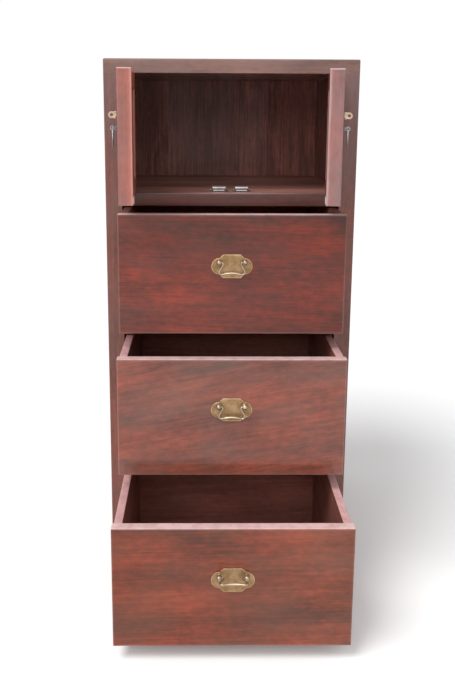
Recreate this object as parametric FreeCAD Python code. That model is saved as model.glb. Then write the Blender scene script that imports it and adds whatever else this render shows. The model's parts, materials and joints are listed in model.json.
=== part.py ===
import FreeCAD, Part
import math
import os

# Campaign chest: a two-door cupboard over three deep drawers, in one narrow carcase.
# Millimetres. The origin is the middle of the footprint on the floor, +Z is up, the front faces -Y.

# Carcase boards
width = 500.0
depth = 430.0
top_thick = 27.0
base_thick = 30.0
side_thick = 22.0
back_thick = 9.0
back_rebate = 10.0
housing_depth = 6.0
edge_round = 3.0

# Face frame and its openings
stile_width = 33.0
frame_thick = 22.0
cupboard_opening = 234.0
cupboard_rail_height = 26.0
drawer_opening = 236.0
drawer_rail_height = 30.0
drawer_rail_depth = 60.0
rail_tenon_length = 15.0
rail_tenon_thick = 8.0
rail_tenon_shoulder = 4.0

# Cupboard floor, and the strips that carry and guide the drawers
floor_thick = 16.0
runner_width = 38.0
guide_height = 20.0
guide_gap = 0.5
guide_setback = 8.0
stop_width = 40.0
stop_length = 15.0
stop_height = 8.0
stop_spacing = 200.0
stop_gap = 0.3

# Drawers
front_thick = 20.0
front_side_gap = 1.0
front_gap_below = 1.0
front_gap_above = 3.0
front_ease = 1.2
drawer_length = 400.0
drawer_side_thick = 15.0
drawer_side_inset = 3.5
drawer_side_housing = 8.0
drawer_run_gap = 0.3
drawer_back_thick = 13.0
drawer_back_housing = 5.0
drawer_back_setback = 10.0
drawer_back_drop = 8.0
drawer_bottom_thick = 6.0
drawer_bottom_lift = 12.0
drawer_groove = 5.0

# How far each drawer stands open
top_pulled = 101.0
middle_pulled = 155.0
bottom_pulled = 288.0

# Drawer handles: cartouche plate, two ball-head posts and a bail
handle_drop = 99.0
plate_thick = 1.6
plate_bevel = 0.5
plate_body_half = 23.0
plate_flat_half = 16.6
plate_shoulder_height = 17.1
plate_shoulder_bulge = 1.2
plate_lobe_centre = 23.4
plate_lobe_radius = 16.0
post_rise = 9.0
post_half = 24.5
post_standoff = 9.3
post_ball_radius = 5.2
post_neck_radius = 2.7
post_collar_radius = 4.4
post_collar_height = 1.4
post_shank_radius = 2.2
post_thread_length = 7.0
bail_radius = 1.75
bail_pin_length = 2.8
bail_pin_play = 0.05
bail_hole_spare = 0.5
bail_arm_gap = 0.4
bail_turn = 2.5
bail_flare_turn = 8.0
bail_flare_run = 11.0
bail_flare_angle = 30.0
bail_corner = 5.0
bail_bow_angle = 17.0
bottom_bail_angle = 97.0

# Doors
door_thick = 25.0
door_side_gap = 1.5
door_meeting_gap = 1.5
door_end_gap = 1.2
door_bevel = 2.0
door_ease = 1.2
door_stile_width = 38.0
door_rail_height = 33.0
door_tenon_length = 22.0
door_tenon_shoulder = 6.0
panel_thick = 8.0
panel_recess = 7.0
panel_groove = 8.0
left_door_angle = 86.5
right_door_angle = 81.5

# Butt hinges, two on each door
hinge_height = 50.0
hinge_end_margin = 32.0
hinge_leaf_width = 18.0
hinge_leaf_thick = 1.4
hinge_pin_forward = 3.2
hinge_knuckle_radius = 2.6
hinge_knuckle_gap = 0.3
hinge_pin_radius = 1.25
hinge_pin_play = 0.04
hinge_pin_head = 0.6

# Lock ear, drop pull and their plate, near the free edge of each door
lock_plate_width = 22.0
lock_plate_height = 92.0
lock_plate_thick = 0.8
lock_plate_corner = 4.0
lock_plate_drop = 49.0
hardware_edge_distance = 13.5
ear_drop = 78.0
ear_thick = 3.0
ear_base_height = 13.0
ear_reach = 15.3
ear_hole_reach = 9.5
ear_hole_radius = 2.5
ear_tang_height = 9.0
ear_tang_depth = 12.0
pull_below_ear = 22.0
pull_standoff = 8.0
pull_cheek_radius = 3.8
pull_fork_width = 7.6
pull_slot_width = 3.2
pull_slot_room = 0.3
pull_flange_radius = 4.6
pull_flange_thick = 1.0
pull_shank_radius = 2.0
pull_shank_depth = 12.0
pull_pin_radius = 1.0
pull_pin_play = 0.05
drop_eye_radius = 3.0
drop_tongue_gap = 0.2
drop_length = 34.0
drop_neck_half = 1.6
drop_leaf_half = 4.6
drop_leaf_height = 26.0
drop_top_thick = 3.2
drop_tip_thick = 1.4

# Magnetic catches on the cupboard floor, and the strike plates on the doors
catch_centre = 23.0
catch_width = 28.0
catch_height = 12.0
catch_depth = 18.0
catch_ear_reach = 4.4
catch_ear_thick = 3.0
catch_ear_depth = 10.0
catch_ease = 0.8
catch_gap = 0.3
upper_pole_width = 26.0
upper_pole_thick = 3.0
lower_pole_width = 22.0
lower_pole_thick = 2.0
lower_pole_lift = 2.2
pole_reach = 0.8
pole_depth = 15.0
magnet_height = 2.8
strike_width = 26.0
strike_height = 12.0
strike_thick = 1.2
strike_edge_distance = 22.5
strike_lift = 1.5
strike_corner = 1.5

# One overrun serves every cut, and one tolerance every search for edges
overrun = 1.0
same_place = 0.001

# Places that follow from the sizes
half_width = width / 2
front_face = -depth / 2
back_face = depth / 2
back_inner = back_face - back_thick
frame_back = front_face + frame_thick
inner_half = half_width - side_thick
opening_half = half_width - stile_width
drawer_names = ("bottom", "middle", "top")
drawer_floors = [base_thick + i * (drawer_opening + drawer_rail_height) for i in range(len(drawer_names))]
cupboard_rail_bottom = drawer_floors[-1] + drawer_opening
cupboard_floor_top = cupboard_rail_bottom + cupboard_rail_height
cupboard_floor_bottom = cupboard_floor_top - floor_thick
ceiling = cupboard_floor_top + cupboard_opening
height = ceiling + top_thick
front_half = opening_half - front_side_gap
front_height = drawer_opening - front_gap_below - front_gap_above
drawer_half = front_half - drawer_side_inset
drawer_inner_half = drawer_half - drawer_side_thick
door_hinge_edge = -opening_half + door_side_gap
door_free_edge = -door_meeting_gap / 2
door_back = front_face + door_thick
door_bottom = cupboard_floor_top + door_end_gap
door_top = ceiling - door_end_gap
hinge_x = -opening_half + door_side_gap / 2
hinge_y = front_face - hinge_pin_forward
hardware_x = door_free_edge - hardware_edge_distance
ear_z = door_top - ear_drop
pull_z = ear_z - pull_below_ear
pull_y = front_face - pull_standoff

across = FreeCAD.Vector(1, 0, 0)
inward = FreeCAD.Vector(0, 1, 0)
upward = FreeCAD.Vector(0, 0, 1)
centre = FreeCAD.Vector(0, 0, 0)


# Small helpers

def box(x, y, z):
    """A block from three pairs of (low, high) places."""
    corner = FreeCAD.Vector(x[0], y[0], z[0])
    return Part.makeBox(x[1] - x[0], y[1] - y[0], z[1] - z[0], corner)


def rod(start, direction, radius, length):
    """A round bar from a start point along a direction."""
    return Part.makeCylinder(radius, length, FreeCAD.Vector(*start), direction)


def around(middle, size):
    """The (low, high) pair of a size centred on a place."""
    return (middle - size / 2, middle + size / 2)


def prism(edges, sweep):
    """A closed outline of edges, swept along a vector."""
    return Part.Face(Part.Wire(edges)).extrude(sweep)


def outline(points):
    """Straight edges that close a ring of points."""
    corners = [FreeCAD.Vector(*p) for p in points]
    return Part.makePolygon(corners + corners[:1]).Edges


def edges_where(shape, **places):
    """The edges whose two ends both lie at the given coordinates."""
    def lies_there(edge):
        ends = [v.Point for v in edge.Vertexes]
        return all(abs(getattr(p, axis) - place) < same_place
                   for p in ends for axis, place in places.items())
    return [edge for edge in shape.Edges if lies_there(edge)]


def mirrored(shape):
    """The same piece on the other side of the chest."""
    return shape.mirror(centre, across)


def both_sides(shape):
    return [shape, mirrored(shape)]


def cut_by(shape, tools):
    """A piece with the housings, grooves and holes that other pieces fill."""
    for tool in tools:
        shape = shape.cut(tool)
    return shape


def save(name, solids):
    """One named piece, or a group of like pieces, as one file."""
    shape = solids[0] if len(solids) == 1 else Part.makeCompound(solids)
    shape.exportStep("parts/" + name + ".step")


# Carcase

def cap_board(low, high, outer):
    """The top or base board: full width and depth, with its outer edges rounded."""
    board = box((-half_width, half_width), (front_face, back_face), (low, high))
    upright = [e for x in (-half_width, half_width) for y in (front_face, back_face)
               for e in edges_where(board, x=x, y=y)]
    return board.makeFillet(edge_round, upright + edges_where(board, z=outer))


def rail(low, high, full_depth):
    """A rail of the face frame, with a tenon at each end; deep rails reach the sides behind the stiles."""
    body = box((-opening_half, opening_half), (front_face, frame_back), (low, high))
    if full_depth > frame_thick:
        rear = (frame_back, front_face + full_depth)
        body = body.fuse(box((-inner_half, inner_half), rear, (low, high)))
    tenon_z = (low + rail_tenon_shoulder, high - rail_tenon_shoulder)
    tenon_y = around(front_face + frame_thick / 2, rail_tenon_thick)
    tenon = box((opening_half, opening_half + rail_tenon_length), tenon_y, tenon_z)
    return body.fuse(both_sides(tenon)).removeSplitter()


def face_stile():
    """The left stile, with its outer front edge rounded."""
    stile = box((-half_width, -opening_half), (front_face, frame_back), (base_thick, ceiling))
    return stile.makeFillet(edge_round, edges_where(stile, x=-half_width, y=front_face))


def drawer_strips():
    """Runners behind the two drawer rails, kickers over the top drawer, guides beside all three."""
    runner_x = (-inner_half, -inner_half + runner_width)
    runners = []
    for floor in drawer_floors[1:]:
        runner_y = (front_face + drawer_rail_depth, back_inner)
        runners += both_sides(box(runner_x, runner_y, (floor - drawer_rail_height, floor)))
    kicker_z = (cupboard_rail_bottom, cupboard_floor_bottom)
    runners += both_sides(box(runner_x, (frame_back, back_inner), kicker_z))
    guides = []
    for floor in drawer_floors:
        guide_x = (-inner_half, -drawer_half - guide_gap)
        guide_y = (frame_back + guide_setback, back_inner)
        guides += both_sides(box(guide_x, guide_y, (floor, floor + guide_height)))
    return runners, guides


def drawer_stops():
    """Two blocks behind each closed front."""
    stops = []
    start = front_face + front_thick + stop_gap
    for floor in drawer_floors:
        stop_x = around(-stop_spacing / 2, stop_width)
        stops += both_sides(box(stop_x, (start, start + stop_length), (floor, floor + stop_height)))
    return stops


# Hinges

def knuckle(low, high, leaf_x):
    """One bored knuckle and the strip that ties it to its leaf."""
    barrel = rod((hinge_x, hinge_y, low), upward, hinge_knuckle_radius, high - low)
    strip = box(leaf_x, (hinge_y, front_face), (low, high))
    bore = rod((hinge_x, hinge_y, low), upward, hinge_pin_radius + hinge_pin_play, high - low)
    return barrel.fuse(strip).cut(bore)


def hinge(middle):
    """Frame leaf, door leaf and pin of one left-hand hinge, with the door closed."""
    low, high = around(middle, hinge_height)
    third = hinge_height / 3
    leaf_y = (front_face, front_face + hinge_leaf_width)
    frame_x = (-opening_half - hinge_leaf_thick, -opening_half)
    door_x = (door_hinge_edge, door_hinge_edge + hinge_leaf_thick)
    frame_leaf = box(frame_x, leaf_y, (low, high)).fuse([
        knuckle(low, low + third, frame_x), knuckle(high - third, high, frame_x)])
    door_knuckle = (low + third + hinge_knuckle_gap, high - third - hinge_knuckle_gap)
    door_leaf = box(door_x, leaf_y, (low, high)).fuse(knuckle(*door_knuckle, door_x))
    pin = rod((hinge_x, hinge_y, low), upward, hinge_pin_radius, hinge_height)
    head = rod((hinge_x, hinge_y, high), upward, hinge_knuckle_radius, hinge_pin_head)
    return frame_leaf.removeSplitter(), door_leaf.removeSplitter(), pin.fuse(head).removeSplitter()


hinge_middles = (door_bottom + hinge_end_margin + hinge_height / 2,
                 door_top - hinge_end_margin - hinge_height / 2)
hinges = [hinge(middle) for middle in hinge_middles]


# Doors, made closed on the left side

def lock_plate():
    """The thin upright plate behind the ear and the pull, with rounded corners."""
    plate_z = around(door_top - lock_plate_drop - lock_plate_height / 2, lock_plate_height)
    plate_x = around(hardware_x, lock_plate_width)
    plate = box(plate_x, (front_face - lock_plate_thick, front_face), plate_z)
    corners = [e for x in plate_x for z in plate_z for e in edges_where(plate, x=x, z=z)]
    return plate.makeFillet(lock_plate_corner, corners)


def lock_ear():
    """A round-ended tab with the padlock hole, on a tang that goes through the plate into the stile."""
    x = hardware_x - ear_thick / 2
    root = front_face - lock_plate_thick
    eye = front_face - ear_hole_reach
    round_end = ear_reach - ear_hole_reach
    low, high = (FreeCAD.Vector(x, eye, ear_z + s * round_end) for s in (-1, 1))
    tip = FreeCAD.Vector(x, eye - round_end, ear_z)
    root_low, root_high = (FreeCAD.Vector(x, root, ear_z + s * ear_base_height / 2) for s in (-1, 1))
    edges = [Part.LineSegment(root_low, low).toShape(), Part.Arc(low, tip, high).toShape(),
             Part.LineSegment(high, root_high).toShape(), Part.LineSegment(root_high, root_low).toShape()]
    tab = prism(edges, across * ear_thick)
    tang_y = (root, front_face + ear_tang_depth)
    tang = box(around(hardware_x, ear_thick), tang_y, around(ear_z, ear_tang_height))
    hole = rod((x - overrun, eye, ear_z), across, ear_hole_radius, ear_thick + overrun + overrun)
    return tab.fuse(tang).cut(hole).removeSplitter()


def pull_post():
    """A forked stud on a flange, and the pin that crosses its two cheeks."""
    root = front_face - lock_plate_thick
    flange_front = root - pull_flange_thick
    fork_x = around(hardware_x, pull_fork_width)
    cheek = rod((fork_x[0], pull_y, pull_z), across, pull_cheek_radius, pull_fork_width)
    stem = box(fork_x, (pull_y, flange_front), around(pull_z, drop_eye_radius + drop_eye_radius))
    slot_back = pull_y + drop_eye_radius + pull_slot_room
    slot_z = around(pull_z, pull_cheek_radius + pull_cheek_radius + overrun)
    slot_y = (pull_y - pull_cheek_radius - overrun, slot_back)
    slot = box(around(hardware_x, pull_slot_width), slot_y, slot_z)
    flange = rod((hardware_x, flange_front, pull_z), inward, pull_flange_radius, pull_flange_thick)
    shank = rod((hardware_x, root, pull_z), inward, pull_shank_radius, lock_plate_thick + pull_shank_depth)
    pin = rod((fork_x[0], pull_y, pull_z), across, pull_pin_radius, pull_fork_width)
    stud = cheek.fuse(stem).cut(slot).fuse([flange, shank]).cut(pin)
    return stud.removeSplitter(), pin


def drop_pull():
    """A leaf-shaped drop, thinner towards its tip, hung by a bored tongue on the pin of its post."""
    tongue_thick = pull_slot_width - drop_tongue_gap - drop_tongue_gap
    tongue_x = around(hardware_x, tongue_thick)
    eye = rod((tongue_x[0], pull_y, pull_z), across, drop_eye_radius, tongue_thick)
    neck_z = pull_z - pull_cheek_radius - pull_slot_room
    tongue = box(tongue_x, around(pull_y, drop_top_thick), (neck_z, pull_z))
    tip_z = pull_z - drop_length
    wide_z = pull_z - drop_leaf_height
    face_y = pull_y - drop_top_thick / 2

    def flank(side):
        neck = FreeCAD.Vector(hardware_x + side * drop_neck_half, face_y, neck_z)
        wide = FreeCAD.Vector(hardware_x + side * drop_leaf_half, face_y, wide_z)
        return neck, wide

    (left_neck, left_wide), (right_neck, right_wide) = flank(-1), flank(1)
    tip = FreeCAD.Vector(hardware_x, face_y, tip_z)
    edges = [Part.LineSegment(left_wide, left_neck).toShape(),
             Part.LineSegment(left_neck, right_neck).toShape(),
             Part.LineSegment(right_neck, right_wide).toShape(),
             Part.Arc(right_wide, tip, left_wide).toShape()]
    leaf = prism(edges, inward * drop_top_thick)
    top_y = around(pull_y, drop_top_thick)
    tip_y = around(pull_y, drop_tip_thick)
    left = hardware_x - drop_leaf_half
    wedge = prism(outline([(left, top_y[0], neck_z), (left, top_y[1], neck_z),
                           (left, tip_y[1], tip_z), (left, tip_y[0], tip_z)]),
                  across * (drop_leaf_half + drop_leaf_half))
    hole = rod((tongue_x[0], pull_y, pull_z), across, pull_pin_radius + pull_pin_play, tongue_thick)
    return eye.fuse([tongue, leaf.common(wedge)]).cut(hole).removeSplitter()


def strike_plate():
    """The steel plate on the inner face that the catch pulls on."""
    strike_x = around(door_free_edge - strike_edge_distance, strike_width)
    strike_z = (door_bottom + strike_lift, door_bottom + strike_lift + strike_height)
    strike = box(strike_x, (door_back, door_back + strike_thick), strike_z)
    corners = [e for x in strike_x for z in strike_z for e in edges_where(strike, x=x, z=z)]
    return strike.makeFillet(strike_corner, corners)


def door_block():
    """The whole closed door, eased all round, with its free edge bevelled to clear the other door."""
    back_edge = door_free_edge - door_bevel
    section = [(door_hinge_edge, front_face), (door_free_edge, front_face),
               (back_edge, door_back), (door_hinge_edge, door_back)]
    ring = outline([(x, y, door_bottom) for x, y in section])
    block = prism(ring, upward * (door_top - door_bottom))
    return block.makeFillet(door_ease, block.Edges)


def door_pieces():
    """Every piece of a closed left door, by name."""
    block = door_block()
    through = (front_face - overrun, door_back + overrun)
    all_z = (door_bottom - overrun, door_top + overrun)
    inner_x = (door_hinge_edge + door_stile_width, door_free_edge - door_stile_width)
    lower = door_bottom + door_rail_height
    upper = door_top - door_rail_height
    panel_y = (door_back - panel_recess - panel_thick, door_back - panel_recess)
    panel = box((inner_x[0] - panel_groove, inner_x[1] + panel_groove), panel_y,
                (lower - panel_groove, upper + panel_groove))
    tenon_x = (inner_x[0] - door_tenon_length, inner_x[1] + door_tenon_length)

    def door_rail(rail_z, tenon_z):
        return block.common(box(inner_x, through, rail_z)).fuse(box(tenon_x, panel_y, tenon_z)).cut(panel)

    rails = [door_rail((all_z[0], lower), (door_bottom + door_tenon_shoulder, lower - panel_groove)),
             door_rail((upper, all_z[1]), (upper + panel_groove, door_top - door_tenon_shoulder))]
    leaves = [door_leaf for _, door_leaf, _ in hinges]
    ear = lock_ear()
    stud, pin = pull_post()
    hinge_stile = block.common(box((door_hinge_edge - overrun, inner_x[0]), through, all_z))
    lock_stile = block.common(box((inner_x[1], door_free_edge + overrun), through, all_z))
    return {
        "stiles": [cut_by(hinge_stile, rails + [panel] + leaves),
                   cut_by(lock_stile, rails + [panel, ear, stud])],
        "rails": [piece.removeSplitter() for piece in rails],
        "panel": [panel],
        "hinge_leaves": leaves,
        "lock_plate": [cut_by(lock_plate(), [ear, stud])],
        "lock_ear": [ear],
        "pull_post": [stud, pin],
        "drop_pull": [drop_pull()],
        "strike_plate": [strike_plate()],
    }


def swung(shape, side, angle):
    """A closed left-hand piece, put on its side and swung open about its hinge pins."""
    if side == "left":
        return shape.rotated(FreeCAD.Vector(hinge_x, hinge_y, 0), upward, -angle)
    return mirrored(shape).rotated(FreeCAD.Vector(-hinge_x, hinge_y, 0), upward, angle)


# Magnetic catches

def catch():
    """Housing, pole bars and magnet of the left catch, which meets the closed door's strike plate."""
    pole_front = door_back + strike_thick + catch_gap
    body_front = pole_front + pole_reach
    x = -catch_centre
    z = (cupboard_floor_top, cupboard_floor_top + catch_height)
    body = box(around(x, catch_width), (body_front, body_front + catch_depth), z)
    body = body.makeFillet(catch_ease, edges_where(body, z=z[1]))
    ear_y = around(body_front + catch_depth / 2, catch_ear_depth)
    ear_x = around(x, catch_width + catch_ear_reach + catch_ear_reach)
    ears = box(ear_x, ear_y, (z[0], z[0] + catch_ear_thick))
    lower_z = (z[0] + lower_pole_lift, z[0] + lower_pole_lift + lower_pole_thick)
    magnet_z = (lower_z[1], lower_z[1] + magnet_height)
    upper_z = (magnet_z[1], magnet_z[1] + upper_pole_thick)
    pole_y = (pole_front, pole_front + pole_depth)
    poles = [box(around(x, upper_pole_width), pole_y, upper_z), box(around(x, lower_pole_width), pole_y, lower_z)]
    magnet = box(around(x, lower_pole_width), (body_front, pole_y[1]), magnet_z)
    return cut_by(body.fuse(ears), poles + [magnet]).removeSplitter(), poles, magnet


# Drawers

def handle_plate(face, z):
    """A cartouche: a body with a flat top and bottom, rounded shoulders, and a round lobe at each end."""
    lobe_end = plate_lobe_centre + plate_lobe_radius
    shoulder = ((plate_flat_half + plate_lobe_centre) / 2 + plate_shoulder_bulge,
                (plate_body_half + plate_shoulder_height) / 2 + plate_shoulder_bulge)

    def at(x, up):
        return FreeCAD.Vector(x, face, z + up)

    edges = []
    for side in (-1, 1):
        for turn in (-1, 1):
            flat = at(side * plate_flat_half, turn * plate_body_half)
            step = at(side * plate_lobe_centre, turn * plate_shoulder_height)
            lobe = at(side * plate_lobe_centre, turn * plate_lobe_radius)
            edges.append(Part.Arc(flat, at(side * shoulder[0], turn * shoulder[1]), step).toShape())
            edges.append(Part.LineSegment(step, lobe).toShape())
        ends = [at(side * plate_lobe_centre, turn * plate_lobe_radius) for turn in (-1, 1)]
        edges.append(Part.Arc(ends[0], at(side * lobe_end, 0), ends[1]).toShape())
    for turn in (-1, 1):
        ends = [at(side * plate_flat_half, turn * plate_body_half) for side in (-1, 1)]
        edges.append(Part.LineSegment(*ends).toShape())
    plate = prism(Part.sortEdges(edges)[0], inward * -plate_thick)
    return plate.makeChamfer(plate_bevel, edges_where(plate, y=face - plate_thick))


def handle_post(face, z):
    """The left post: shank, collar, neck and bored ball in one turned piece."""
    def at(radius, forward):
        return FreeCAD.Vector(radius, -forward, 0)

    inside = -front_thick - post_thread_length
    collar_top = plate_thick + post_collar_height
    ball_low = post_standoff - math.sqrt(post_ball_radius ** 2 - post_neck_radius ** 2)
    points = [at(0, inside), at(post_shank_radius, inside), at(post_shank_radius, plate_thick),
              at(post_collar_radius, plate_thick), at(post_neck_radius, collar_top),
              at(post_neck_radius, ball_low)]
    ball_tip = at(0, post_standoff + post_ball_radius)
    edges = [Part.LineSegment(a, b).toShape() for a, b in zip(points, points[1:])]
    edges.append(Part.Arc(points[-1], at(post_ball_radius, post_standoff), ball_tip).toShape())
    edges.append(Part.LineSegment(ball_tip, points[0]).toShape())
    turned = Part.Face(Part.Wire(edges)).revolve(centre, inward, 360)
    depth_in = bail_pin_length + bail_hole_spare
    hole = rod((post_ball_radius + overrun, -post_standoff, 0), -across, bail_radius + bail_pin_play,
               depth_in + overrun)
    return turned.cut(hole).translated(FreeCAD.Vector(-post_half, face, z))


def bail():
    """The bail, hanging from the origin: a rod along lines and tangent arcs, the same on both sides."""
    x = post_half - post_ball_radius + bail_pin_length
    z = 0.0
    heading = 180.0
    arm_x = post_half - post_ball_radius - bail_arm_gap - bail_radius
    half = []

    def point(px, pz):
        return FreeCAD.Vector(px, 0, pz)

    def step(length):
        nonlocal x, z
        turn = math.radians(heading)
        end = (x + length * math.cos(turn), z + length * math.sin(turn))
        half.append((point(x, z), None, point(*end)))
        x, z = end

    def bend(radius, angle):
        nonlocal x, z, heading
        side = math.copysign(1, angle)
        start = math.radians(heading)
        hub = (x - side * radius * math.sin(start), z + side * radius * math.cos(start))
        places = []
        for part in (angle / 2, angle):
            turn = math.radians(heading + part)
            reach = (side * radius * math.sin(turn), -side * radius * math.cos(turn))
            places.append((hub[0] + reach[0], hub[1] + reach[1]))
        half.append((point(x, z), point(*places[0]), point(*places[1])))
        x, z = places[1]
        heading += angle

    step(x - arm_x - bail_turn)
    bend(bail_turn, 90)
    bend(bail_flare_turn, bail_flare_angle)
    step(bail_flare_run)
    bend(bail_corner, -90 - bail_flare_angle - bail_bow_angle)
    bend(x / math.sin(math.radians(bail_bow_angle)), bail_bow_angle)

    def other(p):
        return FreeCAD.Vector(-p.x, p.y, p.z)

    spans = half + [(other(c), other(b) if b else None, other(a)) for a, b, c in reversed(half)]
    edges = [(Part.Arc(a, b, c) if b else Part.LineSegment(a, c)).toShape() for a, b, c in spans]
    ring = Part.Circle(spans[0][0], across, bail_radius).toShape()
    return Part.Wire(edges).makePipeShell([Part.Wire(ring)], True, False)


def drawer_pieces(floor, pulled, bail_lift):
    """Every piece of one drawer, by name, standing open by a given length."""
    face = front_face - pulled
    low = floor + front_gap_below
    high = low + front_height
    rear = face + drawer_length - drawer_back_setback
    front = box((-front_half, front_half), (face, face + front_thick), (low, high))
    front = front.makeFillet(front_ease, edges_where(front, y=face))
    side_y = (face + front_thick - drawer_side_housing, face + drawer_length)
    side = box((-drawer_half, -drawer_inner_half), side_y, (floor + drawer_run_gap, high))
    sides = both_sides(side)
    bottom_z = floor + drawer_run_gap + drawer_bottom_lift
    bottom_half = drawer_inner_half + drawer_groove
    bottom = box((-bottom_half, bottom_half), (face + front_thick - drawer_groove, rear),
                 (bottom_z, bottom_z + drawer_bottom_thick))
    back_half = drawer_inner_half + drawer_back_housing
    back = box((-back_half, back_half), (rear - drawer_back_thick, rear),
               (bottom_z + drawer_bottom_thick, high - drawer_back_drop))
    handle_z = high - handle_drop
    pivot_z = handle_z + post_rise
    posts = both_sides(handle_post(face, pivot_z))
    pivot = FreeCAD.Vector(0, face - post_standoff, pivot_z)
    return {
        "front": [cut_by(front, sides + [bottom] + posts)],
        "sides": [cut_by(piece, [bottom, back]) for piece in sides],
        "back": [back],
        "bottom": [bottom],
        "handle_plate": [cut_by(handle_plate(face, handle_z), posts)],
        "handle_posts": posts,
        "bail": [bail().translated(pivot).rotated(pivot, across, -bail_lift)],
    }


# Build and save every piece

os.makedirs("parts", exist_ok=True)

side_z = (base_thick - housing_depth, ceiling + housing_depth)
left_side = box((-half_width, -inner_half), (frame_back, back_face), side_z)
back_half = inner_half + back_rebate
back_z = (base_thick - back_rebate, ceiling + back_rebate)
back_panel = box((-back_half, back_half), (back_inner, back_face), back_z)
floor_half = inner_half + housing_depth
floor_z = (cupboard_floor_bottom, cupboard_floor_top)
cupboard_floor = box((-floor_half, floor_half), (frame_back, back_inner), floor_z)
side_boards = [cut_by(board, [back_panel, cupboard_floor]) for board in both_sides(left_side)]
cupboard_rail = rail(cupboard_rail_bottom, cupboard_floor_top, frame_thick)
drawer_rails = [rail(floor - drawer_rail_height, floor, drawer_rail_depth)
                for floor in drawer_floors[1:]]
frame_leaves = [leaf for frame_leaf, _, _ in hinges for leaf in both_sides(frame_leaf)]
stiles = [cut_by(stile, [cupboard_rail] + drawer_rails + frame_leaves) for stile in both_sides(face_stile())]
caps = [cap_board(0, base_thick, 0), cap_board(ceiling, height, height)]
base_board, top_board = [cut_by(cap, side_boards + [back_panel]) for cap in caps]
runners, guides = drawer_strips()
housing, poles, magnet = catch()

save("top_board", [top_board])
save("base_board", [base_board])
for name, board, stile in zip(("left", "right"), side_boards, stiles):
    save("side_" + name, [board])
    save("stile_" + name, [stile])
save("back_panel", [back_panel])
save("cupboard_floor", [cupboard_floor])
save("cupboard_rail", [cupboard_rail])
save("drawer_rail_lower", drawer_rails[:1])
save("drawer_rail_upper", drawer_rails[1:])
save("drawer_runners", runners)
save("drawer_guides", guides)
save("drawer_stops", drawer_stops())
save("hinge_frame_leaves", frame_leaves)
save("hinge_pins", [piece for _, _, pin in hinges for piece in both_sides(pin)])
save("catch_bodies", both_sides(housing))
save("catch_poles", [piece for pole in poles for piece in both_sides(pole)])
save("catch_magnets", both_sides(magnet))

for side, angle in (("left", left_door_angle), ("right", right_door_angle)):
    for name, solids in door_pieces().items():
        save("door_" + side + "_" + name, [swung(solid, side, angle) for solid in solids])

drawer_pulls = (bottom_pulled, middle_pulled, top_pulled)
bail_lifts = (bottom_bail_angle, 0, 0)
for place, floor, pulled, lift in zip(drawer_names, drawer_floors, drawer_pulls, bail_lifts):
    for name, solids in drawer_pieces(floor, pulled, lift).items():
        save("drawer_" + place + "_" + name, solids)
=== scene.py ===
import json
import math
import bmesh
import bpy
import numpy as np
from mathutils import Matrix, Vector


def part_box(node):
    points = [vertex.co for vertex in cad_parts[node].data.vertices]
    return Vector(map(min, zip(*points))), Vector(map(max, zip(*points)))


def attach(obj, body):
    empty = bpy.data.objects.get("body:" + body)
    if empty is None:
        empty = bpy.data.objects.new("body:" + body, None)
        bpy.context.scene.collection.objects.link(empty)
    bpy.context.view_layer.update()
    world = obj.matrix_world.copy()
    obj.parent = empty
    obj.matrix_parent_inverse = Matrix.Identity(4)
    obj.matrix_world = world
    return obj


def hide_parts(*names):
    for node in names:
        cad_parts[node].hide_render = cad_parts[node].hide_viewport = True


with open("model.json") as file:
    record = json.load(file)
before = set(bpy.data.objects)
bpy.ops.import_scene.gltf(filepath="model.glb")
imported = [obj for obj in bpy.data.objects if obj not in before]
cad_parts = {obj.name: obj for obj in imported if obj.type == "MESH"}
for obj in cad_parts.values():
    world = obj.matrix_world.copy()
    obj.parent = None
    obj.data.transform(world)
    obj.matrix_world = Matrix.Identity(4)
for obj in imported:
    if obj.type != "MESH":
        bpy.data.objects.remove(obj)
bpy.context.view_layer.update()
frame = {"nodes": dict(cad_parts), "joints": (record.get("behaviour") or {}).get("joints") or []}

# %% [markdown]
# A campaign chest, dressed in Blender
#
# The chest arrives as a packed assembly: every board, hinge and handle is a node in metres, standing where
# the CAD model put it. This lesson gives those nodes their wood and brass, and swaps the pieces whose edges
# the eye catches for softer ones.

nodes = frame["nodes"]
joints = {joint["name"]: joint for joint in frame["joints"]}

# %% [markdown]
# The camera
#
# The picture was taken from just under the height of the chest's top, a little left of its middle, looking
# down. The camera was found by matching corners of the chest with their places in the picture. The focal
# length is in pixels there, and Blender wants millimetres on a 36 mm sensor, so the long side of the image
# links them. The optical centre isn't the picture's middle, because the picture is a crop, and the lens shift
# says by how much.

# %% Camera
IMAGE_WIDE, IMAGE_TALL = 455, 688
FOCAL_PIXELS = 755.5
OPTICAL_CENTRE = (210.8, 250.7)
SENSOR = 36.0
CAMERA_PLACE = (-0.0557, -1.7193, 0.9882)
LOOK_DOWN, LOOK_RIGHT, TILT = 0.1847, 0.0110, 0.0049


def stand(name, data):
    """A new object in the scene that holds a camera, a lamp or a mesh."""
    made = bpy.data.objects.new(name, data)
    bpy.context.scene.collection.objects.link(made)
    return made


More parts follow.
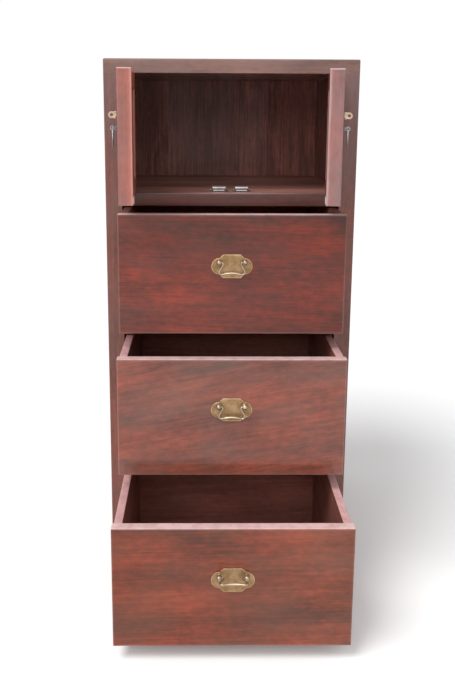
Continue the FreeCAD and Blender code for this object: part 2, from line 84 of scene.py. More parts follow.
camera_data = bpy.data.cameras.new("camera")
camera_data.sensor_width = SENSOR
camera_data.lens = FOCAL_PIXELS * SENSOR / IMAGE_TALL
camera_data.shift_x = (IMAGE_WIDE / 2 - OPTICAL_CENTRE[0]) / IMAGE_TALL
camera_data.shift_y = (OPTICAL_CENTRE[1] - IMAGE_TALL / 2) / IMAGE_TALL
camera = stand("camera", camera_data)
turn = (Matrix.Rotation(-LOOK_RIGHT, 4, "Z") @ Matrix.Rotation(math.pi / 2 - LOOK_DOWN, 4, "X")
        @ Matrix.Rotation(TILT, 4, "Z"))
camera.matrix_world = Matrix.Translation(CAMERA_PLACE) @ turn
bpy.context.scene.camera = camera
bpy.context.scene.view_settings.view_transform = "Standard"
print("lens:", round(camera_data.lens, 2), "mm, shift:", round(camera_data.shift_x, 4),
      round(camera_data.shift_y, 4))

# %% [markdown]
# Shader helpers
#
# A material in Blender is a graph of small nodes. Wiring a graph by hand in Python is wordy, so one helper
# adds a node and fills its inputs at once. An input takes a plain value, or the output of another node.

# %% Adding shader nodes
def add(tree, kind, props=None, **inputs):
    """One shader node; i0, i1 name an input by its place, other names are the socket's own."""
    made = tree.nodes.new("ShaderNode" + kind)
    for key, value in (props or {}).items():
        setattr(made, key, value)
    for key, value in inputs.items():
        by_place = key[0] == "i" and key[1:].isdigit()
        socket = made.inputs[int(key[1:])] if by_place else made.inputs[key.replace("_", " ")]
        if isinstance(value, bpy.types.NodeSocket):
            tree.links.new(value, socket)
        else:
            socket.default_value = value
    return made


def new_tree(name):
    """An empty material and its node tree."""
    material = bpy.data.materials.new(name)
    material.use_nodes = True
    material.node_tree.nodes.clear()
    return material, material.node_tree


def noise(tree, place, stretch, detail, rough, seed):
    """Soft random values from 0 to 1, with a number of blots per metre along each axis."""
    spread = add(tree, "Mapping", Vector=place, Scale=stretch, Location=(seed, seed * 0.7, -seed))
    made = add(tree, "TexNoise", Vector=spread.outputs[0], Scale=1.0, Detail=detail, Roughness=rough)
    return made.outputs[0]


def maths(tree, operation, first, second):
    """A sum, product or other operation on two values."""
    return add(tree, "Math", {"operation": operation}, i0=first, i1=second).outputs[0]


def spread_to(tree, value, low, high, to_low=0.0, to_high=1.0):
    """Stretches the values between low and high to a new range, and clips what lies outside."""
    made = add(tree, "MapRange", Value=value, From_Min=low, From_Max=high, To_Min=to_low, To_Max=to_high)
    return made.outputs[0]


def mix(tree, share, first, second, blend="MIX"):
    """The first colour, with a share of the second."""
    props = {"data_type": "RGBA", "blend_type": blend}
    return add(tree, "Mix", props, i0=share, i6=first, i7=second).outputs[2]


def ramp(tree, value, *stops):
    """Colours that follow one another as a value goes from 0 to 1."""
    made = add(tree, "ValToRGB", i0=value)
    bands = made.color_ramp.elements
    while len(bands) < len(stops):
        bands.new(1.0)
    for band, (place, colour) in zip(bands, stops):
        band.position = place
        band.color = (*colour, 1.0)
    return made.outputs[0]


print("shader helpers:", [helper.__name__ for helper in (add, new_tree, noise, maths, spread_to, mix, ramp)])

# %% [markdown]
# Floor and world
#
# The chest stands cut out on white, with a faint shadow on the right. The floor is a pale sheet that takes
# the shadow, and a little glow lifts it to white. The world looks white to the camera and in reflections,
# but lights the wood at a plain level, so that colours come out about as they are written. The light path
# node tells these two kinds of rays apart.

# %% Floor and world
FLOOR_HALF, FLOOR_Z = 40.0, -0.0005
FLOOR_PALE, FLOOR_GLOW = 0.86, 0.08
SKY_LIGHT, SKY_SEEN = 0.55, 0.45


def seen_rays(tree):
    """1 for rays from the camera, straight or by way of gloss or glass, and 0 for light that bounces."""
    rays = add(tree, "LightPath").outputs
    seen = maths(tree, "MAXIMUM", rays["Is Camera Ray"], rays["Is Glossy Ray"])
    return maths(tree, "MAXIMUM", seen, rays["Is Transmission Ray"])


floor_corners = [(x * FLOOR_HALF, y * FLOOR_HALF, FLOOR_Z) for x, y in ((-1, -1), (1, -1), (1, 1), (-1, 1))]
floor_mesh = bpy.data.meshes.new("floor")
floor_mesh.from_pydata(floor_corners, [], [(0, 1, 2, 3)])
floor = stand("floor", floor_mesh)
paper, tree = new_tree("white_floor")
matt = add(tree, "BsdfDiffuse", Color=(FLOOR_PALE, FLOOR_PALE, FLOOR_PALE, 1))
lift = maths(tree, "MULTIPLY", seen_rays(tree), FLOOR_GLOW)
glow = add(tree, "Emission", Color=(1, 1, 1, 1), Strength=lift)
both = add(tree, "AddShader", i0=matt.outputs[0], i1=glow.outputs[0])
add(tree, "OutputMaterial", Surface=both.outputs[0])
floor_mesh.materials.append(paper)

world = bpy.data.worlds.new("studio")
world.use_nodes = True
tree = world.node_tree
tree.nodes.clear()
level = maths(tree, "ADD", maths(tree, "MULTIPLY", seen_rays(tree), SKY_SEEN), SKY_LIGHT)
sky = add(tree, "Background", Color=(1, 1, 1, 1), Strength=level)
add(tree, "OutputWorld", Surface=sky.outputs[0])
bpy.context.scene.world = world
print("world lights at", SKY_LIGHT, "and looks like", SKY_LIGHT + SKY_SEEN)

# %% [markdown]
# Sun and softbox
#
# The light is soft and even, and comes from above. A wide sun gives the shadow on the right its soft edge.
# A large, weak softbox in front reaches into the drawers and gives the brass something to reflect.

# %% Sun and softbox
SUN_ENERGY, SUN_SPREAD, SUN_TOWARDS = 2.1, 28, (0.50, 0.42, -1.0)
BOX_ENERGY, BOX_SIZE = 46, (2.6, 1.6)
BOX_PLACE, BOX_TARGET = Vector((-0.5, -3.4, 2.3)), Vector((0, 0, 0.6))


def lamp(name, kind, energy, direction, place=(0, 0, 0), **settings):
    """A lamp at a place, turned so that its own downward axis points along a direction."""
    data = bpy.data.lights.new(name, kind)
    data.energy = energy
    for key, value in settings.items():
        setattr(data, key, value)
    made = stand(name, data)
    made.location = place
    made.rotation_euler = Vector(direction).to_track_quat("-Z", "Y").to_euler()


lamp("sun", "SUN", SUN_ENERGY, SUN_TOWARDS, angle=math.radians(SUN_SPREAD))
lamp("front_softbox", "AREA", BOX_ENERGY, BOX_TARGET - BOX_PLACE, BOX_PLACE, shape="RECTANGLE",
     size=BOX_SIZE[0], size_y=BOX_SIZE[1])
print("sun:", SUN_ENERGY, "spread:", SUN_SPREAD, "degrees, softbox:", BOX_ENERGY, "watts")

# %% [markdown]
# Growth rings
#
# A saw cuts the rings of a tree into long arches. A ring is a distance from a line, the pith, which lies a
# little outside the board and a little askew. So the shader takes that distance, warps it slowly, and reads
# a one-dimensional noise there. Turning the place first lets one pattern serve grain along any axis.

# %% Growth rings
GRAIN_TURN = {"x": (0, 0, 0), "y": (0, 0, -math.pi / 2), "z": (0, math.pi / 2, 0)}
RING_NOISE = {"Scale": 80.0, "Detail": 4.0, "Roughness": 0.6}
WARP_NOISE, WARP_REACH = ((2.2, 11, 11), 2.0, 0.5), 0.02


def growth_rings(tree, straight, along, pith, askew, seed):
    """Ring = noise of the distance from the pith's line plus a slow warp."""
    heart = add(tree, "Mapping", Vector=straight, Rotation=askew, Location=pith).outputs[0]
    heart = add(tree, "Mapping", Vector=heart, Scale=(0, 1, 1)).outputs[0]
    distance = add(tree, "VectorMath", {"operation": "LENGTH"}, i0=heart).outputs["Value"]
    warp = spread_to(tree, noise(tree, along, *WARP_NOISE, seed), 0.2, 0.8, -WARP_REACH, WARP_REACH)
    warped = maths(tree, "ADD", distance, warp)
    return add(tree, "TexNoise", {"noise_dimensions": "1D"}, W=warped, **RING_NOISE).outputs[0]


print("ring noise:", RING_NOISE["Scale"], "per metre, warped by up to", WARP_REACH, "m")

# %% [markdown]
# Lacquered hardwood
#
# The chest is a red-brown tropical hardwood under satin lacquer. Over the rings lie broad dark streaks, fine
# fibres and threads, a short mottle and pores, and all of these are noise that is stretched along the grain.
# Their sum picks a tone between a dark, a middle and a red one, and clouds of brown smoke lie over it. A fade
# multiplies the colour towards one side: some fades are the board's own drift in tone, and others are painted
# shade, painted sheen and painted light. Rubbed edges come from an attribute on the mesh, named wear; on the
# tops that pale is partly a painted highlight. A clear coat gives the lacquer. Every board has its own seed,
# so that no two are alike.

# %% Wood material
# noise along and across the grain: blots per metre, detail, roughness
STREAK, FIBRE = ((4, 15, 15), 2.0, 0.5), ((5, 120, 120), 3.0, 0.6)
THREAD, MOTTLE = ((8, 300, 300), 2.0, 0.65), ((60, 110, 110), 2.0, 0.6)
CLOUD, PORE = ((8, 15, 15), 2.0, 0.5), ((40, 900, 900), 2.0, 0.5)
WAVE, RUB_PATCH = ((7, 16, 16), 2.0, 0.5), ((45, 45, 45), 3.0, 0.6)
MIDDLE_TONE, STREAK_SWAY = 0.505, 0.375
SMOKE, SMOKE_BROWN, PORE_DARK = 0.8, 0.55, 0.4
SKIN_DEEP = 0.0006
# the pale pink of rubbed wood, which on the tops is partly a painted highlight
WORN_AND_HIGHLIGHT = (0.66, 0.45, 0.44)


def hardwood(name, grain, tones, seed, coat=0.85, shine=0.04, rough=0.42, figure=0.14, pith=(0, 0.09, 0.02),
             askew=(0, 0.05, 0.07), swing=None, slope=0.0, worn=WORN_AND_HIGHLIGHT, fades=(), lines=1.0, patches=1.0):
    """Tone = streaks + rings + fibres + threads + mottle. Colour = the ramp of tones at that tone, with smoke
    and pores over it, times each fade, and then the pale colour of wear and painted highlight where the mesh
    is worn."""
    material, tree = new_tree(name)
    place = add(tree, "TexCoord").outputs["Object"]
    if swing:
        place = add(tree, "Mapping", Vector=place, Rotation=(0, 0, swing[0]), Location=swing[1]).outputs[0]
    straight = add(tree, "Mapping", Vector=place, Rotation=GRAIN_TURN[grain]).outputs[0]
    shift = (seed * 1.7, 0, 0)
    along = add(tree, "Mapping", Vector=straight, Rotation=(0, slope, 0), Location=shift).outputs[0]

    streak = noise(tree, along, *STREAK, seed)
    sway = STREAK_SWAY * patches
    tone = spread_to(tree, streak, 0.3, 0.7, MIDDLE_TONE - sway, MIDDLE_TONE + sway)
    layers = ((growth_rings(tree, straight, along, pith, askew, seed), 0.3, 0.7, -figure, figure),
              (noise(tree, along, *FIBRE, seed + 1), 0.32, 0.68, -0.11 * lines, 0.11 * lines),
              (noise(tree, along, *THREAD, seed), 0.32, 0.68, -0.19 * lines, 0.12 * lines),
              (noise(tree, along, *MOTTLE, seed + 5), 0.3, 0.7, -0.19, 0.19))
    for layer in layers:
        tone = maths(tree, "ADD", tone, spread_to(tree, *layer))

    colour = ramp(tree, tone, (0.0, tones[0]), (0.5, tones[1]), (1.0, tones[2]))
    brown = mix(tree, SMOKE_BROWN, colour, (*tones[3], 1))
    cloud = noise(tree, along, *CLOUD, seed + 3)
    colour = mix(tree, spread_to(tree, cloud, 0.38, 0.66, 0.0, SMOKE), colour, brown)
    pore = noise(tree, along, *PORE, seed)
    colour = mix(tree, spread_to(tree, pore, 0.56, 0.68, 0.0, PORE_DARK), colour, (*tones[0], 1))
    for axis, start, end, tint in fades:
        depth = add(tree, "SeparateXYZ", Vector=place).outputs[axis]
        colour = mix(tree, spread_to(tree, depth, start, end), colour, (*tint, 1), "MULTIPLY")
    # the wear attribute brings the pale colour: rubbed wood, and on the tops partly a painted highlight
    rubbed = add(tree, "Attribute", {"attribute_name": "wear"}).outputs["Fac"]
    patchy = spread_to(tree, noise(tree, place, *RUB_PATCH, seed), 0.3, 0.6, 0.7, 1.0)
    colour = mix(tree, maths(tree, "MULTIPLY", rubbed, patchy), colour, (*worn, 1))

    wave = noise(tree, along, *WAVE, seed)
    height = maths(tree, "SUBTRACT", wave, maths(tree, "MULTIPLY", pore, 0.15))
    bump = add(tree, "Bump", Strength=0.35, Distance=SKIN_DEEP, Height=height).outputs[0]
    skin = add(tree, "Bump", Strength=0.10, Distance=SKIN_DEEP, Height=wave).outputs[0]
    gloss = spread_to(tree, streak, 0.3, 0.7, rough + 0.08, rough - 0.06)
    shader = add(tree, "BsdfPrincipled", Base_Color=colour, Roughness=gloss, Normal=bump, Coat_Normal=skin)
    shader.inputs["Specular IOR Level"].default_value = 0.05 if coat > 0.5 else 0.2
    shader.inputs["Coat Weight"].default_value = coat
    shader.inputs["Coat Roughness"].default_value = shine
    add(tree, "OutputMaterial", Surface=shader.outputs[0])
    return material


print("streaks move the tone by up to", STREAK_SWAY, "round", MIDDLE_TONE)

# %% [markdown]
# Tones of the boards
#
# The boards differ: the fronts are the reddest, the top is grey-brown with its tones partly a painted sheen,
# the rail under the doors is dark, the cupboard floor is paler as painted light, and the inside has no
# polish. So each kind of board has four tones of its own: the dark streak, the body, the red streak, and the
# brown of the smoke over them. Rubbed wood is pale and pinkish, and on the tops that pale is partly a painted
# highlight.

# %% Tones of the boards
FRONT_TONES = {
    "top": ((0.065, 0.017, 0.011), (0.155, 0.025, 0.013), (0.26, 0.036, 0.018), (0.066, 0.034, 0.029)),
    "middle": ((0.110, 0.040, 0.029), (0.215, 0.060, 0.040), (0.34, 0.083, 0.051), (0.140, 0.092, 0.075)),
    "bottom": ((0.090, 0.026, 0.014), (0.182, 0.040, 0.019), (0.30, 0.063, 0.029), (0.112, 0.060, 0.040)),
}
DOOR_TONES = {
    "left": ((0.140, 0.045, 0.035), (0.225, 0.068, 0.052), (0.33, 0.095, 0.068), (0.19, 0.100, 0.090)),
    "right": ((0.100, 0.042, 0.038), (0.165, 0.062, 0.055), (0.25, 0.083, 0.068), (0.145, 0.096, 0.094)),
}
FRAME_TONES = ((0.115, 0.036, 0.024), (0.180, 0.053, 0.035), (0.25, 0.069, 0.044), (0.160, 0.078, 0.063))
# the top board's grey-brown tones are partly a painted sheen
TOP_TONES_AND_SHEEN = ((0.130, 0.062, 0.050), (0.195, 0.098, 0.080), (0.26, 0.125, 0.100), (0.19, 0.134, 0.121))
RAIL_TONES = ((0.070, 0.022, 0.017), (0.120, 0.035, 0.027), (0.17, 0.046, 0.034), (0.095, 0.045, 0.038))
INNER_TONES = ((0.120, 0.048, 0.038), (0.235, 0.092, 0.072), (0.36, 0.142, 0.104), (0.17, 0.086, 0.074))
CASE_TONES = ((0.18, 0.062, 0.045), (0.28, 0.098, 0.072), (0.39, 0.139, 0.100), (0.22, 0.102, 0.082))
# painted light: the cupboard floor is paler than the other inside wood, where the daylight reaches it
CUPBOARD_FLOOR_LIT_TONES = ((0.200, 0.088, 0.070), (0.350, 0.155, 0.122), (0.50, 0.220, 0.168), (0.27, 0.150, 0.130))
# pale rub colours of the drawer sides and the doors, partly a painted highlight on tops and edges
WORN_AND_HIGHLIGHT_SIDES = (0.58, 0.33, 0.325)
WORN_AND_HIGHLIGHT_DOORS = {"left": (0.60, 0.32, 0.29), "right": (0.48, 0.37, 0.395)}
print("tones for", len(FRONT_TONES), "fronts,", len(DOOR_TONES), "doors and 6 other kinds of board")

# %% [markdown]
# Wood on the carcase
#
# Most boards of the carcase keep the CAD model's shape and only take a material. The stiles grow greyer and
# paler towards the top, a painted sheen of the lacquer. The back panel has finer lines and quieter patches
# than the rest, and its right half is redder. What lies inside has hardly any lacquer, and the cupboard floor
# is paler, a painted light.

# %% Wood on the carcase
FRAME_COAT, RAIL_COAT, FRAME_SHINE = 0.85, 0.5, 0.2
# painted sheen: the stiles turn greyer and paler towards the top
STILE_SHEEN_FADE = (2, 0.72, 1.05, (0.95, 1.42, 1.82))
INNER_LOOK = {"coat": 0.12, "rough": 0.5, "figure": 0.3}
BACK_LOOK = {"lines": 2.6, "patches": 0.5, "fades": [(0, 0.0, 0.14, (1.3, 1.15, 1.15))]}
carcase_grain = {"top_board": "x", "base_board": "x", "side_left": "z", "side_right": "z", "stile_left": "z",
                 "stile_right": "z", "cupboard_rail": "x", "drawer_rail_lower": "x", "drawer_rail_upper": "x"}
inner_grain = {"back_panel": "z", "cupboard_floor": "x", "drawer_runners": "y", "drawer_guides": "y",
               "drawer_stops": "x"}


def dress(node, material):
    """Gives a CAD node one material."""
    slots = nodes[node].data.materials
    slots.clear()
    slots.append(material)


for number, (node, grain) in enumerate(carcase_grain.items()):
    tones = {"top_board": TOP_TONES_AND_SHEEN, "cupboard_rail": RAIL_TONES}.get(node, FRAME_TONES)
    dress(node, hardwood(node + "_wood", grain, tones, 1.3 + number * 2.1, shine=FRAME_SHINE,
                         coat=RAIL_COAT if node == "cupboard_rail" else FRAME_COAT,
                         fades=[STILE_SHEEN_FADE] if "stile" in node else []))
for number, (node, grain) in enumerate(inner_grain.items()):
    look = INNER_LOOK | (BACK_LOOK if node == "back_panel" else {})
    # the cupboard floor takes the paler tones of painted light
    tones = CUPBOARD_FLOOR_LIT_TONES if node == "cupboard_floor" else INNER_TONES
    dress(node, hardwood(node + "_wood", grain, tones, 2.9 + number * 1.9, **look))
print("wood on the carcase:", len(carcase_grain) + len(inner_grain), "boards")

# %% [markdown]
# Brass, steel and moulded plastic
#
# The handles are old brass: dull olive where fingers never reach, brighter on rims and on the grip, and its
# bright colour is tinted pink, a painted reflection of the red wood. The lock plates are dark with tarnish,
# the pulls are worn nickel with their drops painted brighter at the eye, and the catches and strikes are zinc
# on steel, whose pale pinkish white is partly a painted glint. A slow noise sets where the tarnish lies and a
# fine one breaks up its shine. The same wear attribute brightens the rims. The catch's plastic and its magnet
# use the same recipe without the metal.

# %% Metal and plastic materials
TARNISH, SPECK = ((70, 70, 70), 4.0, 0.6), ((600, 600, 600), 3.0, 0.6)
METAL_BUMP = 0.00012


def metal(name, dull, bright, seed, rough, metallic=1.0):
    """Share of bright = tarnish + specks + wear, kept between 0 and 1; colour and gloss follow that share."""
    material, tree = new_tree(name)
    place = add(tree, "TexCoord").outputs["Object"]
    tarnish = noise(tree, place, *TARNISH, seed)
    speck = spread_to(tree, noise(tree, place, *SPECK, seed), 0.3, 0.7, -0.15, 0.15)
    share = maths(tree, "ADD", spread_to(tree, tarnish, 0.35, 0.68, 0.0, 0.7), speck)
    rubbed = add(tree, "Attribute", {"attribute_name": "wear"}).outputs["Fac"]
    share = maths(tree, "MINIMUM", maths(tree, "MAXIMUM", maths(tree, "ADD", share, rubbed), 0.0), 1.0)
    colour = mix(tree, share, (*dull, 1), (*bright, 1))
    gloss = spread_to(tree, share, 0.0, 1.0, rough + 0.12, rough - 0.08)
    bump = add(tree, "Bump", Strength=0.5, Distance=METAL_BUMP, Height=tarnish).outputs[0]
    shader = add(tree, "BsdfPrincipled", Base_Color=colour, Roughness=gloss, Normal=bump)
    shader.inputs["Metallic"].default_value = metallic
    add(tree, "OutputMaterial", Surface=shader.outputs[0])
    return material


dark_brass = metal("tarnished_brass", (0.075, 0.045, 0.036), (0.17, 0.105, 0.085), 3.0, 0.5)
# the bright brass is tinted pink: a painted reflection of the red wood on the rims
brass = metal("aged_brass", (0.240, 0.150, 0.068), (0.47, 0.305, 0.18), 1.0, 0.45)
pale_brass = metal("pale_brass", (0.29, 0.215, 0.145), (0.44, 0.335, 0.245), 4.0, 0.42)
rod_brass = metal("handled_brass", (0.20, 0.145, 0.092), (0.54, 0.41, 0.295), 5.0, 0.42)
nickel = metal("worn_nickel", (0.15, 0.13, 0.135), (0.50, 0.46, 0.48), 6.0, 0.38)
# the zinc's pale pinkish white is partly a painted glint
steel = metal("zinc_steel", (0.50, 0.46, 0.46), (0.84, 0.79, 0.79), 7.0, 0.42, metallic=0.45)
plastic = metal("catch_plastic", (0.055, 0.033, 0.028), (0.085, 0.052, 0.044), 9.0, 0.5, metallic=0.0)
ferrite = metal("magnet_ferrite", (0.02, 0.02, 0.02), (0.06, 0.06, 0.06), 11.0, 0.6, metallic=0.0)

metal_words = {"hinge": brass, "lock_plate": dark_brass, "lock_ear": pale_brass, "pull": nickel,
               "strike": steel, "catch_bodies": plastic, "catch_poles": steel, "catch_magnets": ferrite}
dressed = {node: material for word, material in metal_words.items() for node in nodes if word in node}
for node, material in dressed.items():
    dress(node, material)
print("metal and plastic on", len(dressed), "nodes")

# %% [markdown]
# Grids of points
#
# Each new piece is a surface: a rule that turns two parameters into a point, worked out for a whole grid of
# parameters at once with numpy. One helper lays out the points, one joins neighbours into faces, and one puts
# such patches into a mesh, closes the seams and turns every face outwards.

# %% From grids to meshes
SEAM = 1e-6


def grid(x, y, z):
    """Points from three arrays of coordinates, each stretched over the whole grid."""
    return np.stack(np.broadcast_arrays(x, y, z), -1)


def patch(points, wear=None, loop=True, caps=False):
    """Points on a rows-by-columns grid, with blocks of faces between them; loop closes each row on itself."""
    rows, columns = points.shape[:2]
    i = np.arange(rows - 1)[:, None]
    j = np.arange(columns if loop else columns - 1)[None, :]
    after = (j + 1) % columns
    ring = [i * columns + j, i * columns + after, (i + 1) * columns + after, (i + 1) * columns + j]
    blocks = [np.stack([np.broadcast_to(a, (rows - 1, j.shape[1])) for a in ring], -1).reshape(-1, 4)]
    if caps:
        first = np.arange(columns)[None, :]
        blocks += [first, first + (rows - 1) * columns]
    wear = np.zeros((rows, columns)) if wear is None else np.broadcast_to(wear, (rows, columns))
    return points.reshape(-1, 3), blocks, wear.reshape(-1)


def piece(name, patches, material, body, stands_for=(), smooth_to=35):
    """One object from several patches: doubles merged, faces turned outwards, and tied to its body."""
    starts = np.cumsum([0] + [len(p) for p, _, _ in patches])[:-1]
    points = np.concatenate([p for p, _, _ in patches])
    faces = [face for start, (_, blocks, _) in zip(starts, patches)
             for block in blocks for face in (block + start).tolist()]
    mesh = bpy.data.meshes.new(name)
    mesh.from_pydata(points.tolist(), [], faces)
    layer = mesh.attributes.new("wear", "FLOAT", "POINT")
    layer.data.foreach_set("value", np.concatenate([w for _, _, w in patches]).astype(np.float32))
    shell = bmesh.new()
    shell.from_mesh(mesh)
    bmesh.ops.remove_doubles(shell, verts=shell.verts, dist=SEAM)
    bmesh.ops.dissolve_degenerate(shell, edges=shell.edges, dist=SEAM)
    bmesh.ops.recalc_face_normals(shell, faces=shell.faces)
    shell.to_mesh(mesh)
    shell.free()
    mesh.shade_smooth()
    mesh.set_sharp_from_angle(angle=math.radians(smooth_to))
    mesh.materials.append(material)
    made = stand(name, mesh)
    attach(made, body)
    if stands_for:
        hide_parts(*stands_for)


print("faces between 3 by 4 points:", len(patch(np.zeros((3, 4, 3)))[1][0]))

# %% [markdown]
# Boards with softened edges
#
# A planed board never keeps knife edges: hands, cloths and years round them, and the light finds them first.
# A bevel modifier would do, but a profile carried along a line shows better what happens: the section is
# a rectangle with rounded corners, and over the last millimetres of each end it draws in, so that the end is
# as soft as the sides. The rounding swells and shrinks a little along the board, as wear does.

# %% Board surface
ARC = np.linspace(0, math.pi / 2, 5)
LEAD, STATIONS_APART = 0.003, 0.03
# the top skin that takes full wear: rubbed wood, and partly a painted highlight where light falls on the top
EDGE_WEAR, RUB_AND_HIGHLIGHT_SKIN = 0.12, 0.0006
SQUARE_END = 0.0001
SWELL, SWELL_WAVES = 0.25, (37, 91)


def board(low, high, axis, soft=0.0012, end_soft=0.0008, rubbed=None, seed=0.0):
    """A rounded rectangle carried along one axis: corner centre plus radius times direction, for each corner
    angle, with the radius falling to nothing over a quarter circle at both ends."""
    low, high = np.asarray(low, float), np.asarray(high, float)
    side = [k for k in range(3) if k != axis]
    half = (high - low)[side] / 2
    length = (high - low)[axis]
    quarter = np.array([(1, 1), (-1, 1), (-1, -1), (1, -1)])
    turns = ARC[None, :] + np.arange(4)[:, None] * math.pi / 2
    direct = np.stack([np.cos(turns), np.sin(turns)], -1)
    direct = np.concatenate([direct[:, :1], direct, direct[:, -1:]], 1)
    lead = np.zeros_like(direct)
    lead[:, 0] = -LEAD * np.stack([-np.sin(turns[:, 0]), np.cos(turns[:, 0])], -1)
    lead[:, -1] = LEAD * np.stack([-np.sin(turns[:, -1]), np.cos(turns[:, -1])], -1)
    section_wear = EDGE_WEAR * np.r_[0, np.ones(len(ARC)), 0]

    rounds = end_soft * (1 - np.cos(ARC))
    ease = end_soft * (1 - np.sin(ARC))
    middle = np.linspace(LEAD, length - LEAD, max(2, int(length / STATIONS_APART)))
    along = np.r_[0, ease[::-1], middle, length - ease, length]
    inset = np.r_[end_soft + LEAD, rounds[::-1], 0 * middle, rounds, end_soft + LEAD]
    station_wear = EDGE_WEAR * np.r_[0, np.ones(len(ARC)), 0 * middle, np.ones(len(ARC)), 0]
    swell = 1 + SWELL * np.sin(along * SWELL_WAVES[0] + seed) * np.sin(along * SWELL_WAVES[1] + 2 * seed)

    radius = np.maximum(soft * swell, 1e-5)[:, None, None, None]
    centre = quarter[None, :, None, :] * (half - radius)
    section = centre + lead[None] + radius * direct[None]
    section = section - np.minimum(inset[:, None, None, None], np.abs(section)) * np.sign(section)
    section = section.reshape(len(along), -1, 2)
    points = np.empty(section.shape[:2] + (3,))
    points[..., axis] = low[axis] + along[:, None]
    points[..., side[0]] = (low + high)[side[0]] / 2 + section[..., 0]
    points[..., side[1]] = (low + high)[side[1]] / 2 + section[..., 1]
    wear = np.maximum(np.tile(section_wear, 4)[None, :], station_wear[:, None])
    # the top skin takes full wear: rubbed wood, and partly a painted highlight
    if rubbed is not None:
        wear = np.where(points[..., 2] > high[2] - rubbed, 1.0, wear)
    return patch(points, wear, caps=True)


print("points in a board of one metre:", len(board((0, 0, 0), (1.0, 0.2, 0.02), 0)[0]))

# %% [markdown]
# The cupboard rail
#
# The rail under the doors is where things are slid in and out, so its top is pale, most of all in the middle:
# partly rubbed wood, partly a painted highlight along its edge. Only the part between the stiles shows. The
# tenons stay hidden in the CAD model's stiles.

# %% Cupboard rail
RAIL_HALF = 0.217
RUB_LEAST, RUB_MORE, RUB_WIDE = 0.15, 0.35, 0.12
rail_low, rail_high = map(np.array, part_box("cupboard_rail"))
rail_low[0], rail_high[0] = -RAIL_HALF, RAIL_HALF
points, faces, wear = board(rail_low, rail_high, 0, end_soft=SQUARE_END, rubbed=RUB_AND_HIGHLIGHT_SKIN, seed=2.0)
# the pale top is rub and painted highlight, more of it in the middle
wear = wear * (RUB_LEAST + RUB_MORE * np.exp(-(points[:, 0] / RUB_WIDE) ** 2))
rail_wood = nodes["cupboard_rail"].data.materials[0]
piece("cupboard_rail_board", [(points, faces, wear)], rail_wood, "carcase", ["cupboard_rail"])
print("cupboard rail:", np.round(rail_high - rail_low, 4).tolist())

# %% [markdown]
# Drawer fronts and sides
#
# The drawers are pulled out in steps, so their pale top edges show: partly rubbed wood, partly a painted
# highlight. Each front is one board with its grain across, and its colour drifts a little from side to side
# or from top to bottom; on the top front, the darker top edge is a painted shade. The sides are thinner
# boards with their grain from front to back. They are rubbed pale only as far back as hands reach, and that
# pale, partly a painted highlight, stops where the carcase and the doors shade them; the rest of their tops
# is darkened as a painted shade. The backs and bottoms lie deeper in shade, so the CAD solids serve there and
# only take the wood.

# %% Drawers
JOINT_HIDDEN, SIDE_THICK, FRONT_SOFT = 0.008, 0.015, 0.0013
FRONT_COAT = {"bottom": 0.45, "middle": 0.7, "top": 0.4}
SIDE_LOOK, CASE_LOOK = {"coat": 0.2, "rough": 0.48}, {"coat": 0.15, "rough": 0.5}
# how far back the pale rub and painted highlight reach; they stop where the carcase shades the sides, and the
# top drawer, shaded by the doors, has none
RUB_AND_HIGHLIGHT_REACH = {"bottom": 0.30, "middle": 0.11, "top": -0.05}
# the rest of each side's top is darkened: a painted shade
RUB_ENDS, SIDE_TOP_SHADE_DEPTH, SIDE_TOP_SHADE_TINT = 0.02, (0.003, 0.0008), (0.4, 0.4, 0.4)
# the pith's height over the lower edge, how it lies askew, and the slope of the grain
FRONT_FIGURE = {"bottom": (0.10, (0, 0.03, 0.05), 0.02), "middle": (0.14, (0, 0.10, 0.09), 0.17),
                "top": (0.07, (0, -0.04, 0.06), -0.03)}
PITH_BEHIND = 0.07
# how a front's colour drifts across it: axis, start, end and tint, with heights from its top edge; on the
# top front, the darkening towards its top edge is a painted shade
FRONT_DRIFTS_AND_SHADE = {"bottom": [(0, 0.08, -0.12, (1.0, 0.84, 0.74))], "middle": [],
                "top": [(2, -0.055, 0.0, (0.64, 0.95, 1.12)), (0, -0.06, 0.12, (0.86, 0.76, 0.70))]}


def rubbed_side(made, front, reach):
    """A side whose rub and painted highlight die away towards the back, into the shade: share = 1 / (1 +
    exp((depth - reach) / RUB_ENDS)).
    """
    points, faces, wear = made
    return points, faces, wear / (1 + np.exp((points[:, 1] - front - reach) / RUB_ENDS))


